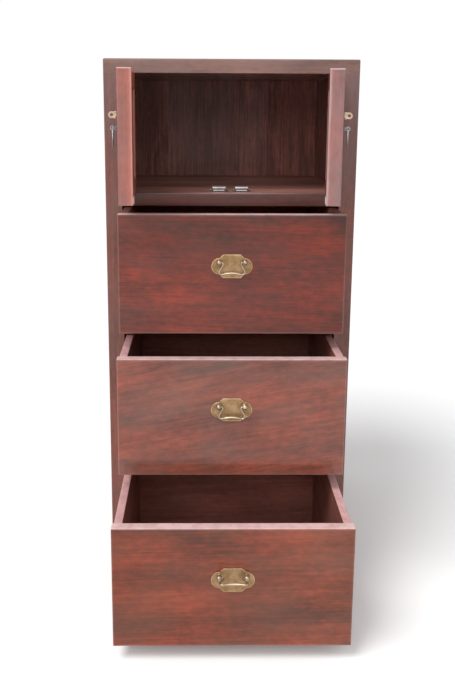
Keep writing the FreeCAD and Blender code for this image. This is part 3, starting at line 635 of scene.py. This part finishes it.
fronts = {}
for number, place in enumerate(("bottom", "middle", "top")):
    body = "drawer_" + place
    seed = 3.7 + number * 4.3
    low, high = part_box(body + "_front")
    fronts[place] = (np.array(low), np.array(high))
    from_top = (0, 0, high[2])
    drifts = [(axis, start + from_top[axis], end + from_top[axis], tint)
              for axis, start, end, tint in FRONT_DRIFTS_AND_SHADE[place]]
    pith_up, askew, slope = FRONT_FIGURE[place]
    finish = hardwood(body + "_front_wood", "x", FRONT_TONES[place], seed, coat=FRONT_COAT[place],
                      pith=(0, PITH_BEHIND, -low[2] - pith_up), askew=askew, slope=slope, fades=drifts)
    piece(body + "_front_board", [board(low, high, 0, FRONT_SOFT, rubbed=RUB_AND_HIGHLIGHT_SKIN, seed=seed)], finish, body,
          [body + "_front"])

    low, high = map(np.array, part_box(body + "_sides"))
    low[1] += JOINT_HIDDEN
    left = board(low, (low[0] + SIDE_THICK, high[1], high[2]), 1, rubbed=RUB_AND_HIGHLIGHT_SKIN, seed=seed + 1)
    right = board((high[0] - SIDE_THICK, low[1], low[2]), high, 1, rubbed=RUB_AND_HIGHLIGHT_SKIN, seed=seed + 2)
    sides = [rubbed_side(made, low[1], RUB_AND_HIGHLIGHT_REACH[place]) for made in (left, right)]
    # painted shade: the side tops are darkened where the carcase and the doors shade them
    side_top_shade = (2, high[2] - SIDE_TOP_SHADE_DEPTH[0], high[2] - SIDE_TOP_SHADE_DEPTH[1], SIDE_TOP_SHADE_TINT)
    finish = hardwood(body + "_side_wood", "y", CASE_TONES, seed + 1, worn=WORN_AND_HIGHLIGHT_SIDES, fades=[side_top_shade],
                      **SIDE_LOOK)
    piece(body + "_side_boards", sides, finish, body, [body + "_sides"])
    for member in (body + "_back", body + "_bottom"):
        dress(member, hardwood(member + "_wood", "x", CASE_TONES, seed + 2, **CASE_LOOK))
print("drawer fronts:", {k: [round(float(v), 4) for v in low] for k, (low, high) in fronts.items()})

# %% [markdown]
# Swinging a door
#
# The pieces of a door are made for a closed left door and then swung about the hinge pin, which is how the
# joiner sees them too. The right door is the mirror image. The grain has to swing with the boards, so the
# wood's material gets the turn and the shift that lead back to the closed door.

# %% Swinging a door
DOOR_OPEN = {"left": math.radians(86.5), "right": math.radians(81.5)}


def swung(points, side):
    """A closed left door's points, mirrored for the right door and turned about its pin."""
    pin = np.array(joints["door_" + side + "_hinge"]["pos_m"])
    sign = -1.0 if side == "right" else 1.0
    angle = -sign * DOOR_OPEN[side]
    x = sign * points[..., 0] - pin[0]
    y = points[..., 1] - pin[1]
    moved = points.copy()
    moved[..., 0] = pin[0] + x * math.cos(angle) - y * math.sin(angle)
    moved[..., 1] = pin[1] + x * math.sin(angle) + y * math.cos(angle)
    return moved


def swung_patch(made, side):
    """A patch with its points swung, and its faces and wear as they were."""
    points, faces, wear = made
    return swung(points, side), faces, wear


def unswing(side):
    """The turn and shift that take a swung door's points back to closed, for its wood grain."""
    pin = np.array(joints["door_" + side + "_hinge"]["pos_m"])
    angle = DOOR_OPEN[side] if side == "left" else -DOOR_OPEN[side]
    back = (pin[0] - pin[0] * math.cos(angle) + pin[1] * math.sin(angle),
            pin[1] - pin[0] * math.sin(angle) - pin[1] * math.cos(angle), 0.0)
    return angle, back


print("doors swung:", {k: round(math.degrees(v), 1) for k, v in DOOR_OPEN.items()})

# %% [markdown]
# Door frames
#
# Each door is a frame of two stiles and two rails round a thin panel. The lock stile's free edge is planed a
# little askew, so that it clears the other door. It is the most handled wood on the chest, rubbed along its
# inner corner and on top, where the pale is partly a painted highlight. From the outer to the inner face the
# wood goes from greyer to redder, and right at the inner face it is paler: a painted light, where that face
# catches the daylight.

# %% Door frames
DOOR_X, DOOR_Y, DOOR_Z = (-0.2155, -0.00075), (-0.215, -0.190), (0.8252, 1.0568)
STILE, RAIL, BEVEL, LEAF_STANDS = 0.038, 0.033, 0.002, 0.0002
INNER_X = (DOOR_X[0] + STILE, DOOR_X[1] - STILE)
LOCK_SOFT = 0.0016
HANDLED, CORNER, CORNER_RUB, TOP_EASE = 0.16, 0.002, 0.6, 0.0009
DOOR_COAT, DOOR_SEED = 0.5, {"left": 5.1, "right": 8.3}
DOOR_FADE = (1, -0.213, -0.192, (1.16, 0.90, 0.70))
# painted light: the wood right at the inner face is paler, where that face catches the daylight
INSIDE_FACE_LIGHT_FADE = (1, -0.1985, -0.1903, (1.5, 1.5, 1.5))


def lock_stile(seed):
    """The stile at the free edge: each point moves back by BEVEL times its share of the width and of the
    depth, and wear lies on the edge, more on its inner corner and most on top, where the pale is partly a
    painted highlight."""
    points, faces, wear = board((INNER_X[1], DOOR_Y[0], DOOR_Z[0]), (DOOR_X[1], DOOR_Y[1], DOOR_Z[1]), 2,
                                LOCK_SOFT, seed=seed)
    free_edge = points[:, 0] > DOOR_X[1] - LEAD
    across = (points[:, 0] - INNER_X[1]) / STILE
    points[:, 0] -= BEVEL * across * (points[:, 1] - DOOR_Y[0]) / (DOOR_Y[1] - DOOR_Y[0])
    wear = np.where(free_edge, HANDLED, wear)
    wear = np.where(free_edge & (points[:, 1] > DOOR_Y[1] - CORNER), CORNER_RUB, wear)
    # the top takes full wear: rubbed wood, and partly a painted highlight
    wear = np.where(points[:, 2] > DOOR_Z[1] - TOP_EASE, 1.0, wear)
    return points, faces, wear


for side, seed in DOOR_SEED.items():
    body = "door_" + side
    hinge_stile = board((DOOR_X[0] + LEAF_STANDS, DOOR_Y[0], DOOR_Z[0]),
                        (INNER_X[0], DOOR_Y[1], DOOR_Z[1]), 2, seed=seed)
    stiles = [swung_patch(made, side) for made in (hinge_stile, lock_stile(seed + 1))]
    rails = [swung_patch(board((INNER_X[0], DOOR_Y[0], z), (INNER_X[1], DOOR_Y[1], z + RAIL), 0,
                               end_soft=SQUARE_END, seed=seed + z), side)
             for z in (DOOR_Z[0], DOOR_Z[1] - RAIL)]
    finish = [hardwood(body + "_" + n + "_wood", grain, DOOR_TONES[side], seed + k, coat=DOOR_COAT,
                       swing=unswing(side), fades=[DOOR_FADE, INSIDE_FACE_LIGHT_FADE], worn=WORN_AND_HIGHLIGHT_DOORS[side])
              for k, (n, grain) in enumerate((("stile", "z"), ("rail", "x"), ("panel", "z")))]
    piece(body + "_stile_boards", stiles, finish[0], body, [body + "_stiles"])
    piece(body + "_rail_boards", rails, finish[1], body, [body + "_rails"])
    dress(body + "_panel", finish[2])
print("door:", round(DOOR_X[1] - DOOR_X[0], 4), "by", round(DOOR_Z[1] - DOOR_Z[0], 4), "m")

# %% [markdown]
# The outline of a handle plate
#
# Behind each bail sits a cartouche of sheet brass: flat at the top and bottom, with sloping shoulders and a
# round lobe at each end. One quarter of its outline is enough, because the rest is its mirror image.

# %% Cartouche outline
MM = 0.001
PLATE_FLAT, PLATE_TOP = 16.5, 23.0
PLATE_STEP, PLATE_SHOULDER, PLATE_LOBE = 23.4, 16.4, 16.0
SHOULDER_BULGE = 0.15


def arc_through(start, middle, end, count):
    """Points on the circle through three points, from the first to the last."""
    start, middle, end = map(np.array, (start, middle, end))
    rows = np.array([middle - start, end - start])
    hub = np.linalg.solve(2 * rows, np.array([middle @ middle - start @ start, end @ end - start @ start]))
    angles = [math.atan2(*(p - hub)[::-1]) for p in (start, end)]
    sweep = np.linspace(*angles, count)
    return hub + np.hypot(*(start - hub)) * np.stack([np.cos(sweep), np.sin(sweep)], -1)


def cartouche():
    """Flat, shoulder arc, step and lobe arc in one quarter, and its three mirror images."""
    flat = np.stack([np.linspace(0, PLATE_FLAT, 6)[:-1], np.full(5, PLATE_TOP)], -1)
    bulge = np.array([PLATE_FLAT + PLATE_STEP, PLATE_TOP + PLATE_SHOULDER]) / 2 + SHOULDER_BULGE
    shoulder = arc_through((PLATE_FLAT, PLATE_TOP), bulge, (PLATE_STEP, PLATE_SHOULDER), 8)
    sweep = np.linspace(math.pi / 2, 0, 13)
    lobe = PLATE_LOBE * np.stack([np.cos(sweep), np.sin(sweep)], -1) + (PLATE_STEP, 0)
    quarter = np.concatenate([flat, shoulder, lobe])
    right = np.concatenate([quarter, quarter[-2:0:-1] * (1, -1)])
    bottom = np.array([[0, -PLATE_TOP]])
    return np.concatenate([right, bottom, right[:0:-1] * (-1, 1)])


print("plate outline:", np.ptp(cartouche(), axis=0).tolist(), "mm")

# %% [markdown]
# Handle plates
#
# Rings of the outline, each drawn in a little further, give the bevelled rim, a scribed line inside it and
# the flat field. The rim is bright where a cloth reaches it, and the scribed line holds dirt.

# %% Handle plates
RIM_INSET = np.array([0, 0, 0.2, 0.7, 1.2, 2.2, 2.5, 3.0, 3.5, 3.8])
RIM_HEIGHT = np.array([0, 0.9, 1.25, 1.5, 1.6, 1.6, 1.3, 1.2, 1.3, 1.5])
RIM_WEAR = np.array([0, 0.2, 0.4, 0.5, 0.5, 0.4, 0, -0.5, 0, 0])
FIELD_SHARE = np.array([0.75, 0.5, 0.25, 0.0])
HANDLE_DROP = 0.099


def plate_patch(face, centre_z):
    """Rim rings shrink by a fixed inset, field rings by a share, and both ends close."""
    outline = cartouche()
    reach = np.hypot(*outline.T)[None, :, None]
    rim = outline[None] * (1 - RIM_INSET[:, None, None] / reach)
    field = rim[-1:] * FIELD_SHARE[:, None, None]
    rings = np.concatenate([0 * rim[:1], rim, field])
    height = np.r_[0, RIM_HEIGHT, np.full(len(FIELD_SHARE), RIM_HEIGHT[-1])]
    wear = np.r_[0, RIM_WEAR, 0 * FIELD_SHARE]
    points = grid(rings[..., 0] * MM, face - height[:, None] * MM, centre_z + rings[..., 1] * MM)
    return patch(points, wear[:, None])


handle_middle = {place: high[2] - HANDLE_DROP for place, (low, high) in fronts.items()}
for place, (low, high) in fronts.items():
    body = "drawer_" + place
    piece(body + "_cartouche", [plate_patch(low[1], handle_middle[place])], brass, body,
          [body + "_handle_plate"], smooth_to=25)
print("plates at height:", {k: round(float(v), 3) for k, v in handle_middle.items()})

# %% [markdown]
# Ball-head posts
#
# The posts are turned: a ball with a hole for the bail, a waisted neck, a beaded collar on the plate, and a
# threaded shank that goes through the front to a nut inside. A turned shape is a profile carried round an
# axis, so the whole post is one grid of profile points by angles.

# %% Posts and nuts
POST_HALF, POST_RISE = 24.5, 9.0
BALL_OUT, BALL, NECK, SHANK = 9.3, 5.2, 2.7, 2.2
FRONT_THICK, THREAD_LENGTH, THREAD_PITCH, THREAD_DEEP = 20.0, 7.0, 0.9, 0.18
NUT_CORNER = 1.13
AROUND = np.linspace(0, 2 * math.pi, 24, endpoint=False)


def turned(radius, forward, centre, face, wear=None):
    """A profile of radius against distance forward, carried round an axis along Y; a radius may also differ
    from angle to angle."""
    radius = radius.reshape(len(radius), -1)
    points = grid(centre[0] + radius * np.cos(AROUND) * MM, face - forward[:, None] * MM,
                  centre[1] + radius * np.sin(AROUND) * MM)
    return patch(points, None if wear is None else wear[:, None])


def post_profile():
    """Radius and distance forward of the face: thread, shank, collar, neck and ball."""
    screwed = np.linspace(-FRONT_THICK - THREAD_LENGTH, -FRONT_THICK, 42)
    thread = SHANK - THREAD_DEEP + THREAD_DEEP * np.cos(screwed * 2 * math.pi / THREAD_PITCH)
    collar_out = np.array([1.6, 1.6, 1.9, 2.3, 2.6, 2.8, 3.3, 4.2, 5.1])
    collar = np.array([SHANK, 4.2, 4.4, 4.3, 3.9, 3.3, 2.85, NECK - 0.1, NECK])
    sweep = np.linspace(math.asin(NECK / BALL), math.pi, 16)
    radius = np.concatenate([[0], thread, collar, BALL * np.sin(sweep)])
    forward = np.concatenate([screwed[:1], screwed, collar_out, BALL_OUT - BALL * np.cos(sweep)])
    wear = np.where(forward > BALL_OUT, 0.35, -0.2)
    return radius, forward, wear


def nut_patches(centre, face):
    """A six-sided nut and its washer: the radius of a hexagon is its apothem over the cosine of the angle."""
    corner = 1 / np.cos((AROUND + math.pi / 6) % (math.pi / 3) - math.pi / 6)
    radius = np.outer([0, 3.3, 3.7, 3.7, 3.3, 0], np.minimum(corner, NUT_CORNER))
    nut_out = -FRONT_THICK - np.array([0.9, 0.9, 1.3, 4.0, 4.4, 4.4])
    washer_out = -FRONT_THICK - np.array([0, 0, 0.45, 0.9, 0.9])
    washer = turned(np.array([0, 5.2, 5.4, 5.2, 0]), washer_out, centre, face)
    return [turned(radius, nut_out, centre, face), washer]


for place, (low, high) in fronts.items():
    body = "drawer_" + place
    pivot_z = handle_middle[place] + POST_RISE * MM
    centres = [(side * POST_HALF * MM, pivot_z) for side in (-1, 1)]
    radius, forward, wear = post_profile()
    posts = [turned(radius, forward, centre, low[1], wear) for centre in centres]
    piece(body + "_ball_posts", posts, rod_brass, body, [body + "_handle_posts"])
    nuts = [made for centre in centres for made in nut_patches(centre, low[1])]
    piece(body + "_post_nuts", nuts, brass, body, smooth_to=28)
print("post profile points:", len(radius))

# %% [markdown]
# Bails
#
# A bail is one bent rod: a short pin in each ball, an arm that flares outwards, a tight corner, and a grip
# that bows up towards the middle. Its centre line is made of straight runs and arcs, each starting where the
# last one ended. A circle carried along that line makes the rod, a little fuller and brighter at the grip.

# %% Bails
ROD = 1.75
BAIL_RUNS = ((2.45, 0.0), (2.5, 90.0), (8.0, 30.0), (11.0, 0.0), (5.0, -137.0))
BOW_ANGLE = 17.0
PIN_START = 22.1
GRIP_WIDE, GRIP_BELOW, GRIP_SWELL = 13, -8, 0.3
BAIL_LIFT = {"bottom": math.radians(97), "middle": 0.0, "top": 0.0}


def bail_line():
    """Half the centre line from runs of (length, 0) or (radius, turn), the bow that brings it to the middle,
    and its mirror image."""
    x, z, heading = PIN_START, 0.0, math.pi
    line = [np.array([[x, z]])]
    bow = math.radians(BOW_ANGLE)
    for size, degrees in BAIL_RUNS + ((None, BOW_ANGLE),):
        size = x / math.sin(bow) if size is None else size
        angle = math.radians(degrees)
        t = np.linspace(0, 1, 13 if degrees else 5)[1:, None]
        if degrees:
            side = math.copysign(1, angle)
            hub = np.array([x - side * size * math.sin(heading), z + side * size * math.cos(heading)])
            turn_to = heading + angle * t
            run = hub + side * size * np.concatenate([np.sin(turn_to), -np.cos(turn_to)], 1)
        else:
            run = np.array([[x, z]]) + size * t * (math.cos(heading), math.sin(heading))
        line.append(run)
        heading += angle
        x, z = run[-1]
    half = np.concatenate(line)
    return np.concatenate([half, half[-2::-1] * (-1, 1)])


def rod_points(line, radius):
    """A circle carried along a flat line: the line's own normal and the Y axis span each circle."""
    ahead = np.gradient(line, axis=0)
    ahead /= np.linalg.norm(ahead, axis=1, keepdims=True)
    ring = np.linspace(0, 2 * math.pi, 14, endpoint=False)
    out = radius[:, None] * np.cos(ring)
    return grid(line[:, :1] - ahead[:, 1:] * out, radius[:, None] * np.sin(ring),
                line[:, 1:] + ahead[:, :1] * out)


line = bail_line()
grip = np.exp(-(line[:, 0] / GRIP_WIDE) ** 2) * (line[:, 1] < GRIP_BELOW)
points = rod_points(line, ROD + GRIP_SWELL * grip) * MM
for place, (low, high) in fronts.items():
    lift = BAIL_LIFT[place]
    lifted = points.copy()
    lifted[..., 1] = points[..., 1] * math.cos(lift) + points[..., 2] * math.sin(lift)
    lifted[..., 2] = points[..., 2] * math.cos(lift) - points[..., 1] * math.sin(lift)
    lifted += (0, low[1] - BALL_OUT * MM, handle_middle[place] + POST_RISE * MM)
    rod = patch(lifted, (0.3 + 0.6 * grip)[:, None], caps=True)
    piece("bail_" + place + "_rod", [rod], rod_brass, "bail_" + place, ["drawer_" + place + "_bail"])
print("bail length along its line:", round(float(np.hypot(*np.diff(line, axis=0).T).sum()), 1), "mm")

# %% [markdown]
# Lock ears
#
# On each door a flat brass ear stands out beside the free edge, with a hole for a padlock. It is sheet metal,
# filed round at the end and wider at its foot. Its outline is a distance from the hole for every angle. The
# surface runs from the hole over one face, round the rim and back over the other, so the hole stays open.

# %% Lock ears
EAR_THICK, EAR_HOLE, EAR_ROUND = 3.0, 2.5, 5.8
EAR_FOOT = np.array([(-8.7, 0.0), (-8.7, 6.6), (-6.4, 6.9), (-5.3, 6.2), (-4.4, 5.4), (-2.0, 5.75)])
HARDWARE_X, EAR_Z, EAR_OUT = DOOR_X[1] - 0.0135, DOOR_Z[1] - 0.078, 0.0095


def ear_patch():
    """Rows: hole edge, bevel, rim, bevel, hole edge again; columns: angles round the hole."""
    angle = np.linspace(0, 2 * math.pi, 72, endpoint=False)
    upper = np.abs((angle + math.pi) % (2 * math.pi) - math.pi)
    foot_angle = np.arctan2(EAR_FOOT[:, 1], EAR_FOOT[:, 0])[::-1]
    foot_reach = np.hypot(*EAR_FOOT.T)[::-1]
    rim = np.where(upper > foot_angle[0], np.interp(upper, foot_angle, foot_reach), EAR_ROUND)
    share = np.array([0, 0.06, 0.93, 1.0, 1.0, 0.93, 0.06, 0, 0])
    across = EAR_THICK / 2 * np.array([0.86, 1, 1, 0.8, -0.8, -1, -1, -0.86, 0.86])
    wear = np.array([0.2, 0.3, 0.3, 0.6, 0.6, 0.3, 0.3, 0.2, 0.2])
    reach = EAR_HOLE + share[:, None] * (rim - EAR_HOLE)[None, :]
    points = grid(HARDWARE_X + across[:, None] * MM, DOOR_Y[0] - EAR_OUT - reach * np.cos(angle) * MM,
                  EAR_Z + reach * np.sin(angle) * MM)
    return patch(points, wear[:, None])


for side in ("left", "right"):
    body = "door_" + side
    piece(body + "_ear", [swung_patch(ear_patch(), side)], pale_brass, body, [body + "_lock_ear"],
          smooth_to=30)
print("ear hole:", 2 * EAR_HOLE, "mm")

# %% [markdown]
# Drop pulls
#
# Below each ear hangs a slim drop on a forked stud. The fork's two cheeks are dished, so from the front they
# read as small rings. The drop is a leaf: an oval section carried straight down, wide and flat near the foot
# and closing to a point, with a round eye at the top.

# %% Drop pulls and their studs
PULL_Z = EAR_Z - 0.022
PULL_Y = DOOR_Y[0] - 0.008
CHEEK, FORK_HALF, SLOT_HALF = 3.8, 3.8, 1.6
STEM_HALF, STEM_BEHIND, STEM_SHORT, TIE_DEEP = 0.003, 0.0033, 0.0013, 0.0036
STEM_SOFT, TIE_SOFT = 0.0008, 0.0004


def turned_across(radius, across, wear=0.0):
    """A profile of radius against place along X, carried round the pull's pin."""
    points = grid(HARDWARE_X + across[:, None] * MM, PULL_Y + radius[:, None] * np.cos(AROUND) * MM,
                  PULL_Z + radius[:, None] * np.sin(AROUND) * MM)
    return patch(points, wear)


def stud_patches():
    """Two dished cheeks, the pin between them, the stem behind the slot and a flange on the plate."""
    dish = np.array([0, CHEEK - 0.3, CHEEK, CHEEK, 3.6, 2.9, 2.2, 1.7, 0])
    at = np.array([SLOT_HALF, SLOT_HALF, 1.8, 3.3, FORK_HALF, FORK_HALF, 3.3, 2.6, 2.5])
    bright = np.array([0, 0.2, 0.4, 0.5, 0.7, 0.6, -0.6, -0.9, -0.9])[:, None]
    cheeks = [turned_across(dish, sign * at, bright) for sign in (-1, 1)]
    pin = turned_across(np.array([0, 1.0, 1.0, 0]), np.array([-2.7, -2.7, 2.7, 2.7]))
    fork = HARDWARE_X + np.array([-FORK_HALF, FORK_HALF]) * MM
    gap = (HARDWARE_X - SLOT_HALF * MM, HARDWARE_X + SLOT_HALF * MM)
    under, over = PULL_Z - STEM_HALF, PULL_Z + STEM_HALF
    stem = board((fork[0], PULL_Y + STEM_BEHIND, under), (fork[1], DOOR_Y[0] - STEM_SHORT, over), 1,
                 STEM_SOFT, SQUARE_END)
    ties = [board((left, PULL_Y, under), (right, PULL_Y + TIE_DEEP, over), 1, TIE_SOFT, SQUARE_END)
            for left, right in ((fork[0], gap[0]), (gap[1], fork[1]))]
    flange_out = np.array([0.8, 0.8, 1.3, 1.8, 1.8])
    flange = turned(np.array([0, 4.6, 4.6, 4.0, 0]), flange_out, (HARDWARE_X, PULL_Z), DOOR_Y[0])
    return cheeks + [pin, stem, flange] + ties


def drop_patches():
    """The eye on the pin, and an oval section carried down: half width and half thickness against depth."""
    eye = turned_across(np.array([0, 2.7, 3.0, 2.7, 0]), np.array([-1.4, -1.4, 0, 1.4, 1.4]), 0.3)
    down = np.array([0, 2.5, 4.5, 8, 12, 16, 20, 23, 26, 29, 31.5, 33.2, 34])
    wide = np.array([1.3, 1.4, 1.5, 1.7, 2.1, 2.7, 3.5, 4.2, 4.6, 4.2, 3.1, 1.7, 0])
    thick = np.array([1.2, 1.3, 1.55, 1.5, 1.4, 1.3, 1.2, 1.1, 1.0, 0.9, 0.75, 0.5, 0])
    points = grid(HARDWARE_X + wide[:, None] * np.cos(AROUND) * MM,
                  PULL_Y + thick[:, None] * np.sin(AROUND) * MM, PULL_Z - down[:, None] * MM)
    # painted highlight and shade: the drop is brighter at its eye and darker towards its point
    return [eye, patch(points, np.linspace(0.5, -0.3, len(down))[:, None], caps=True)]


for side in ("left", "right"):
    body = "door_" + side
    studs = [swung_patch(made, side) for made in stud_patches()]
    drops = [swung_patch(made, side) for made in drop_patches()]
    piece(body + "_stud", studs, nickel, body, [body + "_pull_post"])
    piece("pull_" + side + "_drop", drops, nickel, "pull_" + side, [body + "_drop_pull"])
print("pull hangs at:", round(PULL_Z, 4), "m")

# %% [markdown]
# A slotted screw
#
# Hinges, plates and catches are held by slotted screws. A screw head is a low dome on a disc. The disc is
# laid out in chords rather than rings, so that two of the grid lines run along the slot and keep it crisp.

# %% Slotted screws
CHORD = np.array([-1, -0.93, -0.75, -0.45, -0.17, -0.13, 0.13, 0.17, 0.45, 0.75, 0.93, 1])
RUN = np.linspace(-1, 1, 9)
SLOT_CHORD, HEAD_DEEP = 0.15, 0.6
FIRST_TURN, NEXT_TURN = 0.4, 1.9


def screw(centre, out, radius, turn_by, dome=0.3, slot=0.35):
    """Dome height = dome * (1 - r squared), less the slot depth between the two middle chords."""
    out = np.array(out, float)
    first = np.cross(out, (0, 0, 1) if abs(out[2]) < 0.9 else (1, 0, 0))
    first /= np.linalg.norm(first)
    second = np.cross(out, first)
    first, second = (first * math.cos(turn_by) + second * math.sin(turn_by),
                     second * math.cos(turn_by) - first * math.sin(turn_by))
    x = radius * np.broadcast_to(CHORD[:, None], (len(CHORD), len(RUN)))
    y = radius * np.sqrt(1 - CHORD[:, None] ** 2) * RUN[None, :]
    height = dome * (1 - (x ** 2 + y ** 2) / radius ** 2) - slot * (np.abs(CHORD[:, None]) < SLOT_CHORD)

    def put(a, b, c):
        """The centre, plus so many millimetres along each of the three directions."""
        return np.array(centre) + (a[..., None] * first + b[..., None] * second + c[..., None] * out) * MM

    top = put(x, y, height)
    base = put(x, y, np.full_like(x, -HEAD_DEEP))
    rim = [np.concatenate([sheet[:, -1], sheet[::-1, 0]]) for sheet in (top, base)]
    return [patch(top, 0.2, loop=False), patch(base, 0.0, loop=False), patch(np.stack(rim), 0.1)]


def some_screws(places, out, radius, **shape):
    """A screw at each place, each turned further than the last, because slots never line up."""
    return [made for k, place in enumerate(places)
            for made in screw(place, out, radius, FIRST_TURN + NEXT_TURN * k, **shape)]


print("points in a screw head:", sum(len(points) for points, _, _ in screw((0, 0, 0), (0, 0, 1), 2.0, 0.0)))

# %% [markdown]
# Where the screws sit
#
# Each hinge leaf takes three screws, with the middle one set nearer to the pin. Each lock plate takes two,
# each strike plate one, and each catch one at either end. Those on a door are laid out on the closed door
# and swing with it.

# %% Screws in their places
HINGE_MIDDLES = (DOOR_Z[0] + 0.057, DOOR_Z[1] - 0.057)
LEAF_PLACES = ((0.011, -0.017), (0.0075, 0.0), (0.011, 0.017))
LEAF_SCREW, PLATE_SCREW, CATCH_SCREW, STRIKE_SCREW = 2.3, 2.2, 2.1, 1.9
CATCH_X, EAR_IN, EAR_UP = 0.023, 0.0022, 0.003
PLATE_STANDS, STRIKE_STANDS = 0.0008, 0.0012
SCREW_SMOOTH = 40

spots = [(DOOR_Y[0] + y, z + dz) for z in HINGE_MIDDLES for y, dz in LEAF_PLACES]
frame_spots = {sign: [(sign * RAIL_HALF, y, z) for y, z in spots] for sign in (-1, 1)}
frame_screws = [made for sign, some in frame_spots.items()
                for made in some_screws(some, (-sign, 0, 0), LEAF_SCREW)]
catch_low, catch_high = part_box("catch_bodies")
catch_y = (catch_low[1] + catch_high[1]) / 2
catch_ends = [CATCH_X - (catch_high[0] - CATCH_X) + EAR_IN, catch_high[0] - EAR_IN]
catch_spots = [(sign * x, catch_y, catch_low[2] + EAR_UP) for sign in (-1, 1) for x in catch_ends]
catch_screws = some_screws(catch_spots, (0, 0, 1), CATCH_SCREW, dome=0.9)
piece("hinge_frame_screws", frame_screws, brass, "carcase", smooth_to=SCREW_SMOOTH)
piece("catch_screws", catch_screws, steel, "carcase", smooth_to=SCREW_SMOOTH)

leaf_spots = [(DOOR_X[0], y, z) for y, z in spots]
plate_spots = [(HARDWARE_X, DOOR_Y[0] - PLATE_STANDS, z) for z in (EAR_Z + 0.022, EAR_Z - 0.057)]
strike_spots = [(DOOR_X[1] - 0.0225, DOOR_Y[1] + STRIKE_STANDS, DOOR_Z[0] + 0.0075)]
brass_screws = (some_screws(leaf_spots, (-1, 0, 0), LEAF_SCREW)
                + some_screws(plate_spots, (0, -1, 0), PLATE_SCREW))
strike_screws = some_screws(strike_spots, (0, 1, 0), STRIKE_SCREW, dome=0.12, slot=0.2)
for side in ("left", "right"):
    body = "door_" + side
    piece(body + "_screws", [swung_patch(made, side) for made in brass_screws], brass, body,
          smooth_to=SCREW_SMOOTH)
    piece(body + "_strike_screw", [swung_patch(made, side) for made in strike_screws], steel, body,
          smooth_to=SCREW_SMOOTH)
on_doors = 2 * (len(leaf_spots) + len(plate_spots) + len(strike_spots))
print("screws:", 2 * len(spots) + len(catch_spots) + on_doors)
